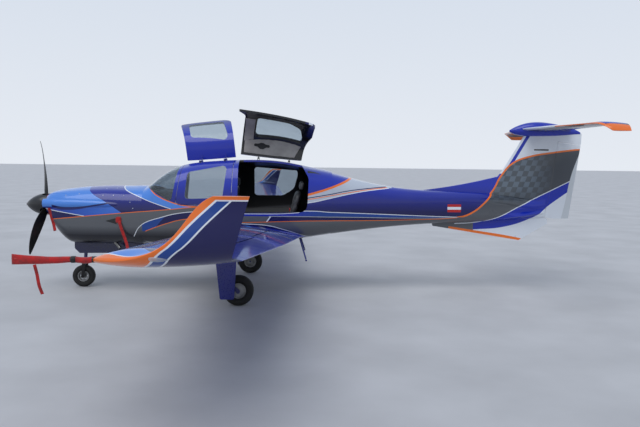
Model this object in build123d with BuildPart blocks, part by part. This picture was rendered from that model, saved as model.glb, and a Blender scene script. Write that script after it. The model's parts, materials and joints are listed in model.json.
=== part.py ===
"""Light aircraft with a low wing, a T-tail, a nose-wheel gear and three gull-wing doors.

The nose points towards -X, starboard is +Y and up is +Z. A station is a distance aft of the
spinner's tip, and heights are above the ground. Every length is in millimetres.
"""

import os
from math import atan2, cos, degrees, hypot, radians, sin, sqrt, tan

from build123d import *

# Overall sizes
LENGTH = 9230.0
ORIGIN_STATION = LENGTH / 2
HALF_SPAN = 6705.0
GAP = 6.0
SEAT = 0.3

# Fuselage
FIREWALL = 1990.0
CABIN_END = 5000.0
BOOM_END = 8640.0
BOOM_ROOM_END = 7660.0
WALL = 32.0
PANE = 8.0
CROWN_RADIUS = 1300.0
SIDE_RADIUS = 1500.0
BELLY_RADIUS = 1300.0
# station, half width, crown height, waist height, belly height, upper corner, lower corner
FUSELAGE_SECTIONS = [
    (FIREWALL, 572, 1681, 1250, 745, 260, 260),
    (2200, 600, 1838, 1275, 735, 290, 270),
    (2400, 625, 1968, 1300, 730, 310, 280),
    (2600, 642, 2040, 1320, 735, 320, 290),
    (3000, 655, 2100, 1335, 745, 320, 300),
    (3600, 655, 2133, 1350, 760, 320, 300),
    (4200, 625, 2110, 1370, 800, 320, 300),
    (4700, 560, 2015, 1390, 870, 310, 280),
    (5200, 455, 1885, 1400, 945, 280, 250),
    (5900, 330, 1728, 1400, 1035, 240, 220),
    (6700, 245, 1655, 1395, 1100, 190, 180),
    (7700, 160, 1612, 1390, 1150, 130, 130),
    (BOOM_END, 48, 1560, 1390, 1212, 42, 42),
]

# Cowling
COWL_FRONT = 400.0
COWL_WALL = 14.0
COWL_SPLIT = 1262.0
# station, half width, crown height, waist height, belly height, upper corner, lower corner
COWL_SECTIONS = [
    (COWL_FRONT, 240, 1508, 1365, 1250, 100, 90),
    (450, 312, 1558, 1360, 1190, 135, 115),
    (520, 368, 1590, 1348, 1090, 160, 150),
    (640, 420, 1615, 1330, 895, 190, 200),
    (820, 465, 1640, 1308, 755, 220, 240),
    (1100, 508, 1668, 1285, 730, 240, 255),
    (1500, 545, 1685, 1265, 735, 255, 260),
    (FIREWALL - SEAT, 572, 1681, 1250, 745, 260, 260),
]
# The smooth cowling's sections: how many bays, and how much longer each is than the last
COWL_BAYS = 12
COWL_GROWTH = 1.15
# Blister on each side of the cowling behind an intake: station, distance off centre, height
CHEEK = (870.0, 402.0, 1402.0)
CHEEK_REACH = 800.0
CHEEK_RADIUS = 88.0
CHEEK_TOE = 9.0
INTAKE_Y = 300.0
INTAKE_Z = 1378.0
INTAKE_SIZE = (128.0, 84.0)
CHIN_SIZE = (250.0, 62.0)
CHIN_Z = 1158.0

# Doors and windows: outlines in side view, station, height and corner radius
HIGH = 2400.0
HINGE_Y = 130.0
FRONT_DOOR = [(2660, HIGH, 60), (3425, HIGH, 60), (3390, 1420, 170), (2530, 1420, 60)]
REAR_DOOR = [
    (3505, HIGH, 60), (4390, HIGH, 60), (4470, 2060, 150), (4605, 1810, 150),
    (4585, 1318, 110), (3390, 1310, 12), (3505, 1480, 200),
]
FRONT_WINDOW = [(2705, 1925, 70), (3325, 2045, 60), (3262, 1530, 55), (2672, 1510, 50)]
REAR_WINDOW = [
    (3700, 2010, 55), (4440, 1955, 25), (4450, 1880, 40),
    (4390, 1640, 150), (4200, 1515, 150), (3700, 1515, 55),
]
WINDSCREEN = [
    (1900, 1775, 55), (2420, 1475, 55), (2470, 1500, 20),
    (2565, 2040, 55), (2520, HIGH, 55), (1900, HIGH, 55),
]
DOOR_GAP = 7.0
# Aft and upward room that the rear door's sloping edge needs while it swings out of its frame
SWING_ROOM = (5.0, 38.0)
FRONT_DOOR_OPEN = 104.0
REAR_DOOR_OPEN = 102.0
# station and height of the two hinge pins of each door
FRONT_HINGES = [(2850, 2098), (3250, 2133)]
REAR_HINGES = [(3800, 2160), (4300, 2114)]
PIN_Y = HINGE_Y - 10.0
PIN_RADIUS = 6.0
EYE_RADIUS = 13.0
ARM_WIDTH = 14.0
ARM_REACH = 85.0
LUG_WIDTH = 9.0
LUG_PLAY = 1.0

# Wing: span station, leading edge, trailing edge, height, thickness share
WING_SECTIONS = [
    (480, 2740, 4560, 918, 0.175),
    (750, 2805, 4492, 939, 0.155),
    (3600, 2890, 4275, 1188, 0.148),
    (6400, 2990, 4000, 1435, 0.13),
]
UPPER_SHARE = 0.62
CREST = 0.34
TRAILING_EDGE = 6.0
SURFACE_PIN = 5.0
PIN_DEPTH = 30.0
PIN_ROOT = 24.0
FLAP_SPAN = (760.0, 3560.0)
AILERON_SPAN = (3640.0, 6180.0)
FLAP_HINGE = 0.735
AILERON_HINGE = 0.76
# Tie-down ring under each wing: station, span station, height, hole radius, thickness
WING_RING = (3300.0, 3900.0, 1112.0, 10.0, 8.0)
# Winglet: span station, height, leading edge, trailing edge, thickness share, cant
WINGLET_SECTIONS = [
    (6400, 1435, 2990, 4000, 0.13, 0),
    (6590, 1470, 3250, 3950, 0.12, 30),
    (6668, 1560, 3495, 3975, 0.11, 70),
    (6682, 1720, 3652, 4021, 0.10, 80),
    (HALF_SPAN - 12, 1895, 3840, 4072, 0.09, 84),
]

# Tail
TAIL_HEIGHT = 2700.0
# span station, height, leading edge, trailing edge, thickness share, cant
TAILPLANE_SECTIONS = [
    (0, TAIL_HEIGHT, 8170, 9020, 0.10, 0),
    (1830, TAIL_HEIGHT, 8510, 9000, 0.10, 0),
]
TAIL_TIP_SECTIONS = [
    (1830, TAIL_HEIGHT, 8510, 9000, 0.10, 0),
    (1985, TAIL_HEIGHT - 22, 8600, 9000, 0.10, -30),
    (2065, TAIL_HEIGHT - 110, 8735, 8998, 0.10, -72),
]
ELEVATOR_SPAN = (140.0, 1780.0)
ELEVATOR_HINGE = 8800.0
ELEVATOR_TUBE = 12.0
# height, leading edge, trailing edge, thickness
FIN_SECTIONS = [
    (1200, 7500, 9060, 118),
    (1800, 7745, 9140, 110),
    (2020, 7905, 9170, 104),
    (2500, 8190, LENGTH, 92),
    (2640, 8275, LENGTH, 86),
]
FIN_FOOT = 1390.0
RUDDER_SPAN = (1215.0, 2490.0)
RUDDER_CHORD = 400.0
# station, foot half width, crown height, edge radius
DORSAL_FOOT = 1500.0
DORSAL_SECTIONS = [(6560, 14, 1662, 4), (7250, 34, 1772, 9), (7860, 54, 1915, 15)]
VENTRAL = [(6700, 1180), (6730, 1058), (7255, 976), (8210, 825), (8690, 1110), (8690, 1194), (8560, 1230)]
VENTRAL_THICKNESS = 34.0
TAIL_RING = (8150.0, 890.0, 10.0)
# station, half width, crown height, waist height, belly height, upper corner, lower corner
BULLET_SECTIONS = [
    (7994, 12, 2679, 2667, 2655, 11, 11),
    (8080, 62, 2730, 2672, 2614, 55, 55),
    (8300, 104, 2806, 2692, 2582, 95, 95),
    (8560, 112, 2818, 2698, 2582, 100, 100),
    (8880, 84, 2770, 2682, 2596, 78, 78),
    (9205, 14, 2662, 2645, 2628, 12, 12),
]

# Propeller
PROP_HEIGHT = 1365.0
PROP_PLANE = 335.0
PROP_RADIUS = 1045.0
PROP_LEAN = 7.7
SPINNER_RADIUS = 172.0
SPINNER_END = 386.0
SPINNER_WALL = 5.0
BLADE_SHANK = 40.0
BLADE_HOLE = 68.0
HUB_RADIUS = 78.0
SHAFT_RADIUS = 52.0
# radius, chord, sweep, pitch, thickness
BLADE_SECTIONS = [
    (150, 100, 0, 46, 40),
    (300, 132, 14, 38, 32),
    (520, 162, 22, 29, 20),
    (760, 152, 2, 22, 14),
    (940, 106, -44, 18, 10),
    (PROP_RADIUS, 34, -96, 16, 6),
]
ENGINE = (660.0, 1560.0, 230.0, 1020.0, 1550.0)
MOUNT_RADIUS = 12.0

# Wheels
NOSE_STATION = 915.0
NOSE_TYRE_RADIUS = 180.5
NOSE_TYRE_WIDTH = 126.0
NOSE_RIM_RADIUS = 92.0
NOSE_RIM_WIDTH = 96.0
MAIN_STATION = 3580.0
MAIN_TRACK = 2790.0
MAIN_TYRE_RADIUS = 222.5
MAIN_TYRE_WIDTH = 158.0
MAIN_RIM_RADIUS = 112.0
MAIN_RIM_WIDTH = 124.0
AXLE_RADIUS = 16.0
AXLE_BORE = 8.0
RIM_HOLES = 6
RIM_HOLE_RADIUS = 11.0
DISC_RADIUS = 88.0
DISC_THICKNESS = 7.0
# Length, depth and height of each brake caliper
CALIPER = (50.0, 12.0, 55.0)

# Gear legs and doors
STEER_STATION = 955.0
STEER_Z = 620.0
STEER_RAKE = 4.5
STEER_JOINT_Z = 470.0
FORK_CROWN_Z = 385.0
STRUT_RADIUS = 28.0
STRUT_TOP_Z = 930.0
LEG_STATION = 3470.0
LEG_Y = 1518.0
LEG_RADIUS = 28.0
LEG_FOOT_Z = 300.0
ARM_THICKNESS = 34.0
LEG_DOOR_Y = 1562.0
LEG_DOOR = [(3245, 870), (3575, 870), (3530, 120), (3325, 120)]
GEAR_DOOR_THICKNESS = 10.0
NOSE_BAY = (800.0, 1900.0, 150.0)
NOSE_DOOR = [(822, 800), (1950, 800), (1950, 655), (1880, 590), (900, 580), (822, 660)]

# Cabin
FLOOR_Z = 930.0
FLOOR_THICKNESS = 24.0
SEAT_WIDTH = 420.0
SEAT_Y = 285.0
FRONT_SEAT = [
    (2800, 1010), (2800, 1170), (3250, 1135), (3390, 1690), (3400, 1870),
    (3490, 1870), (3500, 1690), (3375, 1010),
]
BENCH_WIDTH = 900.0
REAR_BENCH = [
    (3820, FLOOR_Z + FLOOR_THICKNESS + SEAT), (3820, 1180), (4240, 1150), (4470, 1800), (4560, 1790),
    (4400, FLOOR_Z + FLOOR_THICKNESS + SEAT),
]
PANEL_STATION = 2420.0
PANEL_Z = (1180.0, 1590.0)
PANEL_THICKNESS = 50.0
# Screens on the panel: distance off centre and height of each, and their raised rims
SCREENS = [(-300.0, 1440.0), (0.0, 1440.0), (300.0, 1440.0)]
SCREEN_SIZE = (262.0, 190.0)
SCREEN_RIM = 10.0
KNOB_RADIUS = 9.0
LEVER_RADIUS = 6.0
LEVER_KNOB = 16.0
CONSOLE_HALF = 62.0
CONSOLE_LENGTH = 540.0
CONSOLE_TOP = 1120.0
GLARE_THICKNESS = 22.0


def at(station):
    """X of a station."""
    return station - ORIGIN_STATION


def arc(centre, radius, first, last):
    """An arc about a centre between two directions in degrees."""
    return CenterArc(centre, radius, first, last - first)


def corner(across, up, across_radius, up_radius, corner_radius):
    """The centre of the corner arc that joins two bowed sides, and its two end directions."""
    crown_centre = (0.0, up - up_radius)
    side_centre = (across - across_radius, 0.0)
    reach_crown = up_radius - corner_radius
    reach_side = across_radius - corner_radius
    dx = side_centre[0] - crown_centre[0]
    dy = side_centre[1] - crown_centre[1]
    apart = hypot(dx, dy)
    along = (reach_crown**2 - reach_side**2 + apart**2) / (2 * apart)
    off = sqrt(reach_crown**2 - along**2)
    x = crown_centre[0] + (along * dx - off * dy * (1 if dx < 0 else -1) * -1) / apart
    y = crown_centre[1] + (along * dy + off * dx * (1 if dx < 0 else -1) * -1) / apart
    side_angle = degrees(atan2(y - side_centre[1], x - side_centre[0]))
    crown_angle = degrees(atan2(y - crown_centre[1], x - crown_centre[0]))
    return (x, y), side_angle, crown_angle


def body_section(row, inset):
    """A fuselage section of eight tangent arcs, drawn in the plane across its station."""
    station, half, crown, waist, belly, upper, lower = row
    half = half - inset
    up = crown - waist - inset
    down = waist - belly - inset
    crown_radius = CROWN_RADIUS - inset
    side_radius = SIDE_RADIUS - inset
    belly_radius = BELLY_RADIUS - inset
    top, top_side, top_crown = corner(half, up, side_radius, crown_radius, upper - inset)
    low, low_side, low_belly = corner(half, down, side_radius, belly_radius, lower - inset)
    side_centre = half - side_radius
    with BuildSketch(Plane.YZ.offset(at(station))) as section:
        with BuildLine():
            arc((0, waist + up - crown_radius), crown_radius, top_crown, 180 - top_crown)
            arc((-top[0], waist + top[1]), upper - inset, 180 - top_crown, 180 - top_side)
            arc((-side_centre, waist), side_radius, 180 - top_side, 180 + low_side)
            arc((-low[0], waist - low[1]), lower - inset, 180 + low_side, 180 + low_belly)
            arc((0, waist - down + belly_radius), belly_radius, 180 + low_belly, 360 - low_belly)
            arc((low[0], waist - low[1]), lower - inset, 360 - low_belly, 360 - low_side)
            arc((side_centre, waist), side_radius, -low_side, top_side)
            arc((top[0], waist + top[1]), upper - inset, top_side, top_crown)
        make_face()
    return section.sketch


def body_loft(rows, inset):
    """The smooth body through a table of sections, drawn in by an inset."""
    sections = [body_section(row, inset) for row in rows]
    with BuildPart() as body:
        loft(sections=sections)
    return body.part


def column_slopes(stations, values):
    """Slopes at the table's stations that let a smooth curve through them keep its rises."""
    steps = [
        (values[i + 1] - values[i]) / (stations[i + 1] - stations[i])
        for i in range(len(values) - 1)
    ]
    inner = [2 * a * b / (a + b) if a * b > 0 else 0.0 for a, b in zip(steps, steps[1:])]
    return [steps[0], *inner, steps[-1]]


def smooth_rows(rows, bays, growth):
    """The table read again at stations whose spacing grows aft, on smooth curves through it."""
    stations = [row[0] for row in rows]
    slopes = [column_slopes(stations, column) for column in list(zip(*rows))[1:]]
    length = stations[-1] - stations[0]
    fresh = [rows[0]]
    for step in range(1, bays):
        station = stations[0] + length * (growth**step - 1) / (growth**bays - 1)
        i = max(k for k, start in enumerate(stations) if start < station)
        bay = stations[i + 1] - stations[i]
        share = (station - stations[i]) / bay
        row = [station]
        for start, end, slope in zip(rows[i][1:], rows[i + 1][1:], slopes):
            blend = share * share * (3 - 2 * share)
            lift = slope[i] * share * (1 - share) ** 2 - slope[i + 1] * share**2 * (1 - share)
            row.append(start + (end - start) * blend + bay * lift)
        fresh.append(tuple(row))
    return [*fresh, rows[-1]]


def slab(first, last, low=-HIGH, high=2 * HIGH, reach=2000.0):
    """A block between two stations and two heights, wide enough to hold the body."""
    with BuildPart() as block:
        with Locations((at((first + last) / 2), 0, (low + high) / 2)):
            Box(last - first, 2 * reach, high - low)
    return block.part


def side_prism(outline, grow, near, far):
    """A side-view outline with round corners, pushed out to port from near to far."""
    radii = [radius for _, _, radius in outline]
    with BuildPart() as prism:
        with BuildSketch(Plane.XZ.offset(near)):
            with BuildLine():
                FilletPolyline([(at(x), z) for x, z, _ in outline], radius=radii, close=True)
            make_face()
            if grow:
                offset(amount=grow)
        extrude(amount=far - near)
    return prism.part


def across(shape):
    """The same shape on the other side."""
    with BuildPart() as other:
        mirror(shape, about=Plane.XZ)
    return other.part


def both(shape):
    """The shape and its twin on the other side."""
    with BuildPart() as pair:
        add(shape)
        mirror(shape, about=Plane.XZ)
    return pair.part


def foil_radius(run, rise, nose):
    """Radius of the arc from the end of a nose arc to a crest with a level tangent."""
    return (run * run - 2 * run * nose + rise * rise) / (2 * (rise - nose))


def foil_height(chord, rise, crest, share, edge=TRAILING_EDGE):
    """Height of one side of the foil at a share of its chord aft of the crest."""
    drop = rise - edge / 2
    run = chord * (1 - crest)
    radius = (run * run + drop * drop) / (2 * drop)
    x = chord * (share - crest)
    return rise - radius + sqrt(radius * radius - x * x)


def foil(plane, chord, upper, lower, crest=CREST, edge=TRAILING_EDGE):
    """A wing section: nose, crest and aft arcs above and below, and a blunt trailing edge."""
    thick = upper + lower
    nose = min(1.1 * thick * thick / chord, 0.8 * min(upper, lower))
    run = crest * chord
    lines = []
    for rise, sign in ((upper, 1), (lower, -1)):
        radius = foil_radius(run, rise, nose)
        angle = atan2(radius - rise, run - nose)
        meet = (nose - nose * cos(angle), sign * nose * sin(angle))
        half = angle / 2
        nose_mid = (nose - nose * cos(half), sign * nose * sin(half))
        top = (angle + radians(90)) / 2
        crest_mid = (run - radius * cos(top), sign * (rise - radius + radius * sin(top)))
        mid_height = foil_height(chord, rise, crest, (1 + crest) / 2, edge)
        aft_mid = ((chord + run) / 2, sign * mid_height)
        end = (chord, sign * edge / 2)
        lines.append((nose_mid, meet, crest_mid, (run, sign * rise), aft_mid, end))
    above, below = lines
    with BuildSketch(plane) as section:
        with BuildLine():
            ThreePointArc((0, 0), above[0], above[1])
            ThreePointArc(above[1], above[2], above[3])
            ThreePointArc(above[3], above[4], above[5])
            Line(above[5], below[5])
            ThreePointArc(below[5], below[4], below[3])
            ThreePointArc(below[3], below[2], below[1])
            ThreePointArc(below[1], below[0], (0, 0))
        make_face()
    return section.sketch


def rib_plane(station, y, z, cant=0.0):
    """The plane of a port rib: x aft along its chord, y up, leaning outwards by the cant."""
    lean = radians(cant)
    return Plane(origin=(at(station), -y, z), x_dir=(1, 0, 0), z_dir=(0, -cos(lean), sin(lean)))


def wing_foil(row):
    """A wing rib from a row of the wing's table."""
    y, lead, trail, z, share = row
    thick = (trail - lead) * share
    return foil(rib_plane(lead, y, z), trail - lead, thick * UPPER_SHARE, thick * (1 - UPPER_SHARE))


def canted_foil(row, upper_share):
    """A rib of the winglet or the tailplane, leaning by its cant."""
    y, z, lead, trail, share, cant = row
    thick = (trail - lead) * share
    plane = rib_plane(lead, y, z, cant)
    return foil(plane, trail - lead, thick * upper_share, thick * (1 - upper_share))


def wing_row(y):
    """The wing's leading edge, trailing edge, height and thickness share at a span station."""
    for inner, outer in zip(WING_SECTIONS, WING_SECTIONS[1:]):
        if y <= outer[0]:
            part_way = (y - inner[0]) / (outer[0] - inner[0])
            return [a + (b - a) * part_way for a, b in zip(inner[1:], outer[1:])]
    return list(WING_SECTIONS[-1][1:])


def wing_hinge(y, share):
    """The middle of the wing's thickness at a share of its chord, and half that thickness."""
    lead, trail, z, thickness = wing_row(y)
    chord = trail - lead
    upper = foil_height(chord, chord * thickness * UPPER_SHARE, CREST, share)
    lower = foil_height(chord, chord * thickness * (1 - UPPER_SHARE), CREST, share)
    return Vector(at(lead + share * chord), -y, z + (upper - lower) / 2), (upper + lower) / 2


def hinge_zone(start, end, start_radius, end_radius, gap, reach=900.0, depth=500.0):
    """All that lies aft of a hinge line, and a round nose about it, grown by a gap."""
    line = end - start
    length = line.length
    plane = Plane(origin=start, x_dir=Vector(1, 0, 0) - line * (line.X / length**2), z_dir=line)
    with BuildPart(plane) as zone:
        with Locations((reach / 2, 0, length / 2)):
            Box(reach, depth, length + 2 * gap)
        with Locations((0, 0, length / 2)):
            Cone(start_radius + gap, end_radius + gap, length + 2 * gap)
    return zone.part


def tube(start, end, radius):
    """A round bar from one point to another."""
    line = Vector(*end) - Vector(*start)
    with BuildPart() as bar:
        with BuildSketch(Plane(origin=start, z_dir=line)):
            Circle(radius)
        extrude(amount=line.length)
    return bar.part


def end_pins(start, end, extra):
    """The pins at the two ends of a hinge line, or with extra their bores."""
    line = (end - start).normalized()
    with BuildPart() as pins:
        for point, inwards in ((start, line), (end, -line)):
            root = point - inwards * (GAP + PIN_ROOT)
            tip = point + inwards * (PIN_DEPTH + extra)
            add(tube(tuple(root), tuple(tip), SURFACE_PIN + extra))
    return pins.part


def finish(builder, name):
    """Label a finished piece and write it."""
    builder.part.label = name
    export_step(builder.part, f"parts/{name}.step")


def common(first, second):
    """What two shapes share."""
    with BuildPart() as shared:
        add(first)
        add(second, mode=Mode.INTERSECT)
    return shared.part


def minus(shape, *cutters):
    """A shape with others cut away."""
    with BuildPart() as cut:
        add(shape)
        for cutter in cutters:
            add(cutter, mode=Mode.SUBTRACT)
    return cut.part


def largest(shape):
    """The largest solid of a shape."""
    return shape.solids().sort_by(SortBy.VOLUME)[-1]


def block(x0, x1, y0, y1, z0, z1):
    """A block between two stations, two distances to starboard and two heights."""
    with BuildPart() as solid:
        with Locations((at((x0 + x1) / 2), (y0 + y1) / 2, (z0 + z1) / 2)):
            Box(x1 - x0, y1 - y0, z1 - z0)
    return solid.part


def hinge_axis(hinges, side):
    """The line through a door's two hinge pins, forwards on port and aft on starboard."""
    (x0, z0), (x1, z1) = hinges
    return Axis((at(x0), side * PIN_Y, z0), (side * (x1 - x0), 0, side * (z1 - z0)))


def pin_plane(hinges, x):
    """The plane square to a port door's hinge line at a station, y to starboard and up."""
    (x0, z0), (x1, z1) = hinges
    z = z0 + (z1 - z0) * (x - x0) / (x1 - x0)
    return Plane(origin=(at(x), -PIN_Y, z), x_dir=(0, 1, 0), z_dir=(x1 - x0, 0, z1 - z0))


def hinge_plate(plane, width, points):
    """A hinge plate about a plane: an eye about the pin and a web of given corners."""
    with BuildPart() as plate:
        with BuildSketch(plane.offset(-width / 2)):
            Circle(EYE_RADIUS)
            Polygon(*points, align=None)
        extrude(amount=width)
    return plate.part


def hinge_pin(plane, reach, radius):
    """A round pin along the hinge line, a reach to each side of a plane."""
    with BuildPart() as pin:
        with BuildSketch(plane.offset(-reach)):
            Circle(radius)
        extrude(amount=2 * reach)
    return pin.part


def door_arms(hinges):
    """The two gooseneck arms of a port door, from the pins out to its skin."""
    web = [(0, EYE_RADIUS), (-ARM_REACH, -14), (-ARM_REACH, -60), (-26, -45), (-19, -15), (0, -EYE_RADIUS)]
    with BuildPart() as arms:
        for x, _ in hinges:
            plane = pin_plane(hinges, x)
            add(hinge_plate(plane, ARM_WIDTH, web))
            add(hinge_pin(plane, 2 * ARM_WIDTH, PIN_RADIUS + SEAT), mode=Mode.SUBTRACT)
    return arms.part


def door_lugs(hinges):
    """The roof lugs and pins that carry a port door."""
    web = [(0, EYE_RADIUS), (-EYE_RADIUS, 0), (-9, -90), (30, -90), (EYE_RADIUS, 0)]
    step = (ARM_WIDTH + LUG_WIDTH) / 2 + LUG_PLAY
    with BuildPart() as lugs:
        for x, _ in hinges:
            plane = pin_plane(hinges, x)
            for side in (-1, 1):
                add(hinge_plate(plane.offset(side * step), LUG_WIDTH, web))
            add(hinge_pin(plane, step + LUG_WIDTH / 2, PIN_RADIUS))
    return lugs.part


def wheel_rim(centre, radius, width):
    """A split rim: hub with its bore, disc and two flanges, turned about the axle."""
    hub = 2.2 * AXLE_RADIUS
    side = [
        (AXLE_RADIUS + SEAT, width / 2),
        (hub, width / 2),
        (hub + 6, 9),
        (radius - 22, 9),
        (radius - 16, width / 2),
        (radius, width / 2),
        (radius, width / 2 - 8),
        (radius - 10, width / 2 - 12),
    ]
    profile = [(w, r) for r, w in side] + [(-w, r) for r, w in reversed(side)]
    with BuildPart() as rim:
        with BuildSketch(Plane(origin=centre, x_dir=(0, 1, 0), z_dir=(1, 0, 0))):
            Polygon(*profile, align=None)
        revolve(axis=Axis(centre, (0, 1, 0)))
        with BuildSketch(Plane(origin=centre, x_dir=(1, 0, 0), z_dir=(0, 1, 0))):
            with PolarLocations((hub + radius - 16) / 2, RIM_HOLES):
                Circle(RIM_HOLE_RADIUS)
        extrude(amount=width, both=True, mode=Mode.SUBTRACT)
    return rim.part


def wheel_tyre(centre, rim_radius, rim_width, radius, width):
    """A round-shouldered tyre seated between the rim's flanges."""
    bead = rim_width / 2 - 12.5
    height = radius - rim_radius - 1
    with BuildPart() as tyre:
        with BuildSketch(Plane(origin=centre, x_dir=(0, 1, 0), z_dir=(1, 0, 0))):
            with Locations((0, rim_radius + 1 + height / 2)):
                RectangleRounded(width, height, 0.44 * height)
            with Locations((0, rim_radius)):
                Rectangle(2 * bead, 19)
        revolve(axis=Axis(centre, (0, 1, 0)))
    return tyre.part


def seat(points, width, centre_y, radius):
    """A seat's side view pushed out sideways, with round corners."""
    with BuildPart() as cushion:
        with BuildSketch(Plane.XZ.offset(-centre_y - width / 2)):
            with BuildLine():
                FilletPolyline([(at(x), z) for x, z in points], radius=radius, close=True)
            make_face()
        extrude(amount=width)
    return cushion.part


os.makedirs("parts", exist_ok=True)

# Body shapes that several pieces share
cabin_rows = FUSELAGE_SECTIONS[:10]
boom_rows = FUSELAGE_SECTIONS[6:]
cabin_body = common(body_loft(cabin_rows, 0), slab(FIREWALL - 10, CABIN_END))
boom_body = common(body_loft(boom_rows, 0), slab(CABIN_END, BOOM_END + 10))
cabin_room = common(body_loft(cabin_rows, WALL), slab(FIREWALL + WALL, CABIN_END - WALL))
cabin_shell = minus(cabin_body, cabin_room)
glass_shell = minus(cabin_body, body_loft(cabin_rows, PANE))

FAR = 900.0
windscreen_hole = both(side_prism(WINDSCREEN, 0, 0, FAR))
front_window_hole = side_prism(FRONT_WINDOW, 0, HINGE_Y, FAR)
rear_window_hole = side_prism(REAR_WINDOW, 0, HINGE_Y, FAR)
front_doorway = side_prism(FRONT_DOOR, DOOR_GAP, HINGE_Y, FAR)
rear_frame = side_prism(REAR_DOOR, DOOR_GAP, HINGE_Y, FAR)
swing_run, swing_rise = SWING_ROOM
with BuildPart() as rear_opening:
    add(rear_frame)
    add(rear_frame.moved(Location((swing_run, 0, swing_rise))))
rear_doorway = rear_opening.part

with BuildPart() as fuselage:
    add(cabin_shell)
    add(windscreen_hole, mode=Mode.SUBTRACT)
    add(front_doorway, mode=Mode.SUBTRACT)
    add(across(front_doorway), mode=Mode.SUBTRACT)
    add(rear_doorway, mode=Mode.SUBTRACT)
    add(across(rear_window_hole), mode=Mode.SUBTRACT)
finish(fuselage, "fuselage")

with BuildPart() as windscreen:
    add(glass_shell)
    pane_zone = both(side_prism(WINDSCREEN, -SEAT, 0, FAR))
    add(pane_zone, mode=Mode.INTERSECT)
finish(windscreen, "windscreen")

front_pane_zone = side_prism(FRONT_WINDOW, -SEAT, HINGE_Y, FAR)
rear_pane_zone = side_prism(REAR_WINDOW, -SEAT, HINGE_Y, FAR)
with BuildPart() as side_window:
    add(glass_shell)
    add(across(rear_pane_zone), mode=Mode.INTERSECT)
finish(side_window, "rear_side_window")

# Doors: cut from the cabin wall, then turned open about their pins as they stand
front_leaf_zone = side_prism(FRONT_DOOR, 0, HINGE_Y + DOOR_GAP, FAR)
rear_leaf_zone = side_prism(REAR_DOOR, 0, HINGE_Y + DOOR_GAP, FAR)
front_leaf = minus(common(cabin_shell, front_leaf_zone), front_window_hole)
rear_leaf = minus(common(cabin_shell, rear_leaf_zone), rear_window_hole)
front_arms = minus(door_arms(FRONT_HINGES), cabin_body)
rear_arms = minus(door_arms(REAR_HINGES), cabin_body)
front_pane = common(glass_shell, front_pane_zone)
rear_pane = common(glass_shell, rear_pane_zone)
door_table = [
    ("front_port", -1, FRONT_HINGES, 0.0, front_leaf, front_arms, front_pane),
    ("front_starboard", 1, FRONT_HINGES, FRONT_DOOR_OPEN, front_leaf, front_arms, front_pane),
    ("rear_port", -1, REAR_HINGES, REAR_DOOR_OPEN, rear_leaf, rear_arms, rear_pane),
]
for name, side, hinges, opening, leaf, arms, pane in door_table:
    axis = hinge_axis(hinges, side)
    with BuildPart(mode=Mode.PRIVATE) as closed_door:
        add(leaf)
        add(arms)
    leaf_shape = closed_door.part if side < 0 else across(closed_door.part)
    pane_shape = pane if side < 0 else across(pane)
    with BuildPart() as door:
        add(leaf_shape.rotate(axis, opening))
    finish(door, f"door_{name}")
    with BuildPart() as door_window:
        add(pane_shape.rotate(axis, opening))
    finish(door_window, f"door_window_{name}")

with BuildPart() as hinge_lugs:
    front_lugs = minus(door_lugs(FRONT_HINGES), cabin_body)
    add(front_lugs)
    add(across(front_lugs))
    add(minus(door_lugs(REAR_HINGES), cabin_body))
finish(hinge_lugs, "door_hinge_lugs")

# Cowling, engine and propeller


def cheek(inset):
    """The port cowling blister, a spindle that spreads aft, drawn in by an inset."""
    station, y, z = CHEEK
    toe = radians(CHEEK_TOE)
    place = Plane(origin=(at(station), -y, z), x_dir=(cos(toe), -sin(toe), 0), z_dir=(0, 0, 1))
    reach = CHEEK_REACH - inset
    radius = CHEEK_RADIUS - inset
    with BuildPart() as blister:
        with BuildSketch(place):
            Ellipse(reach, radius)
            with Locations((0, -radius)):
                Rectangle(2 * reach, 2 * radius, mode=Mode.SUBTRACT)
        revolve(axis=Axis(place.origin, place.x_dir))
    return blister.part


def cowl_form(rows, inset):
    """The cowling's body with its two blisters, drawn in by an inset and cut off at its front."""
    with BuildPart() as form:
        add(body_loft(rows, inset))
        add(both(common(cheek(inset), slab(rows[0][0], FIREWALL))))
    return form.part


cowl_rows = smooth_rows(COWL_SECTIONS, COWL_BAYS, COWL_GROWTH)
cowl_outer = cowl_form(cowl_rows, 0)
cowl_inner = cowl_form(cowl_rows[2:], COWL_WALL)
with BuildPart() as intake_holes:
    with BuildSketch(Plane.YZ.offset(at(COWL_FRONT - 20))):
        with Locations((-INTAKE_Y, INTAKE_Z), (INTAKE_Y, INTAKE_Z)):
            RectangleRounded(*INTAKE_SIZE, 0.45 * INTAKE_SIZE[1])
        with Locations((0, CHIN_Z)):
            RectangleRounded(*CHIN_SIZE, 0.45 * CHIN_SIZE[1])
        with Locations((0, PROP_HEIGHT)):
            Circle(SHAFT_RADIUS + GAP)
    extrude(amount=220)
bay_start, bay_end, bay_half = NOSE_BAY
nose_bay = block(bay_start, bay_end, -bay_half, bay_half, 600, 900)
cowl_shell = minus(cowl_outer, cowl_inner, intake_holes.part, nose_bay)
cowl_top = slab(COWL_FRONT - 10, FIREWALL, COWL_SPLIT + SEAT, HIGH)
cowl_low = slab(COWL_FRONT - 10, FIREWALL, 0, COWL_SPLIT)

with BuildPart() as cowling_upper:
    add(common(cowl_shell, cowl_top))
finish(cowling_upper, "cowling_upper")

with BuildPart() as cowling_lower:
    add(common(cowl_shell, cowl_low))
finish(cowling_lower, "cowling_lower")

engine_front, engine_back, engine_half, engine_low, engine_high = ENGINE
with BuildPart() as engine:
    add(block(engine_front, engine_back, -engine_half, engine_half, engine_low, engine_high))
    fillet(engine.edges().filter_by(Axis.X), 60)
    for y in (-engine_half + 60, engine_half - 60):
        for z in (engine_low + 60, engine_high - 60):
            add(tube((at(engine_back), y, z), (at(FIREWALL - SEAT), y, z), MOUNT_RADIUS))
finish(engine, "engine_block")

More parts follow.
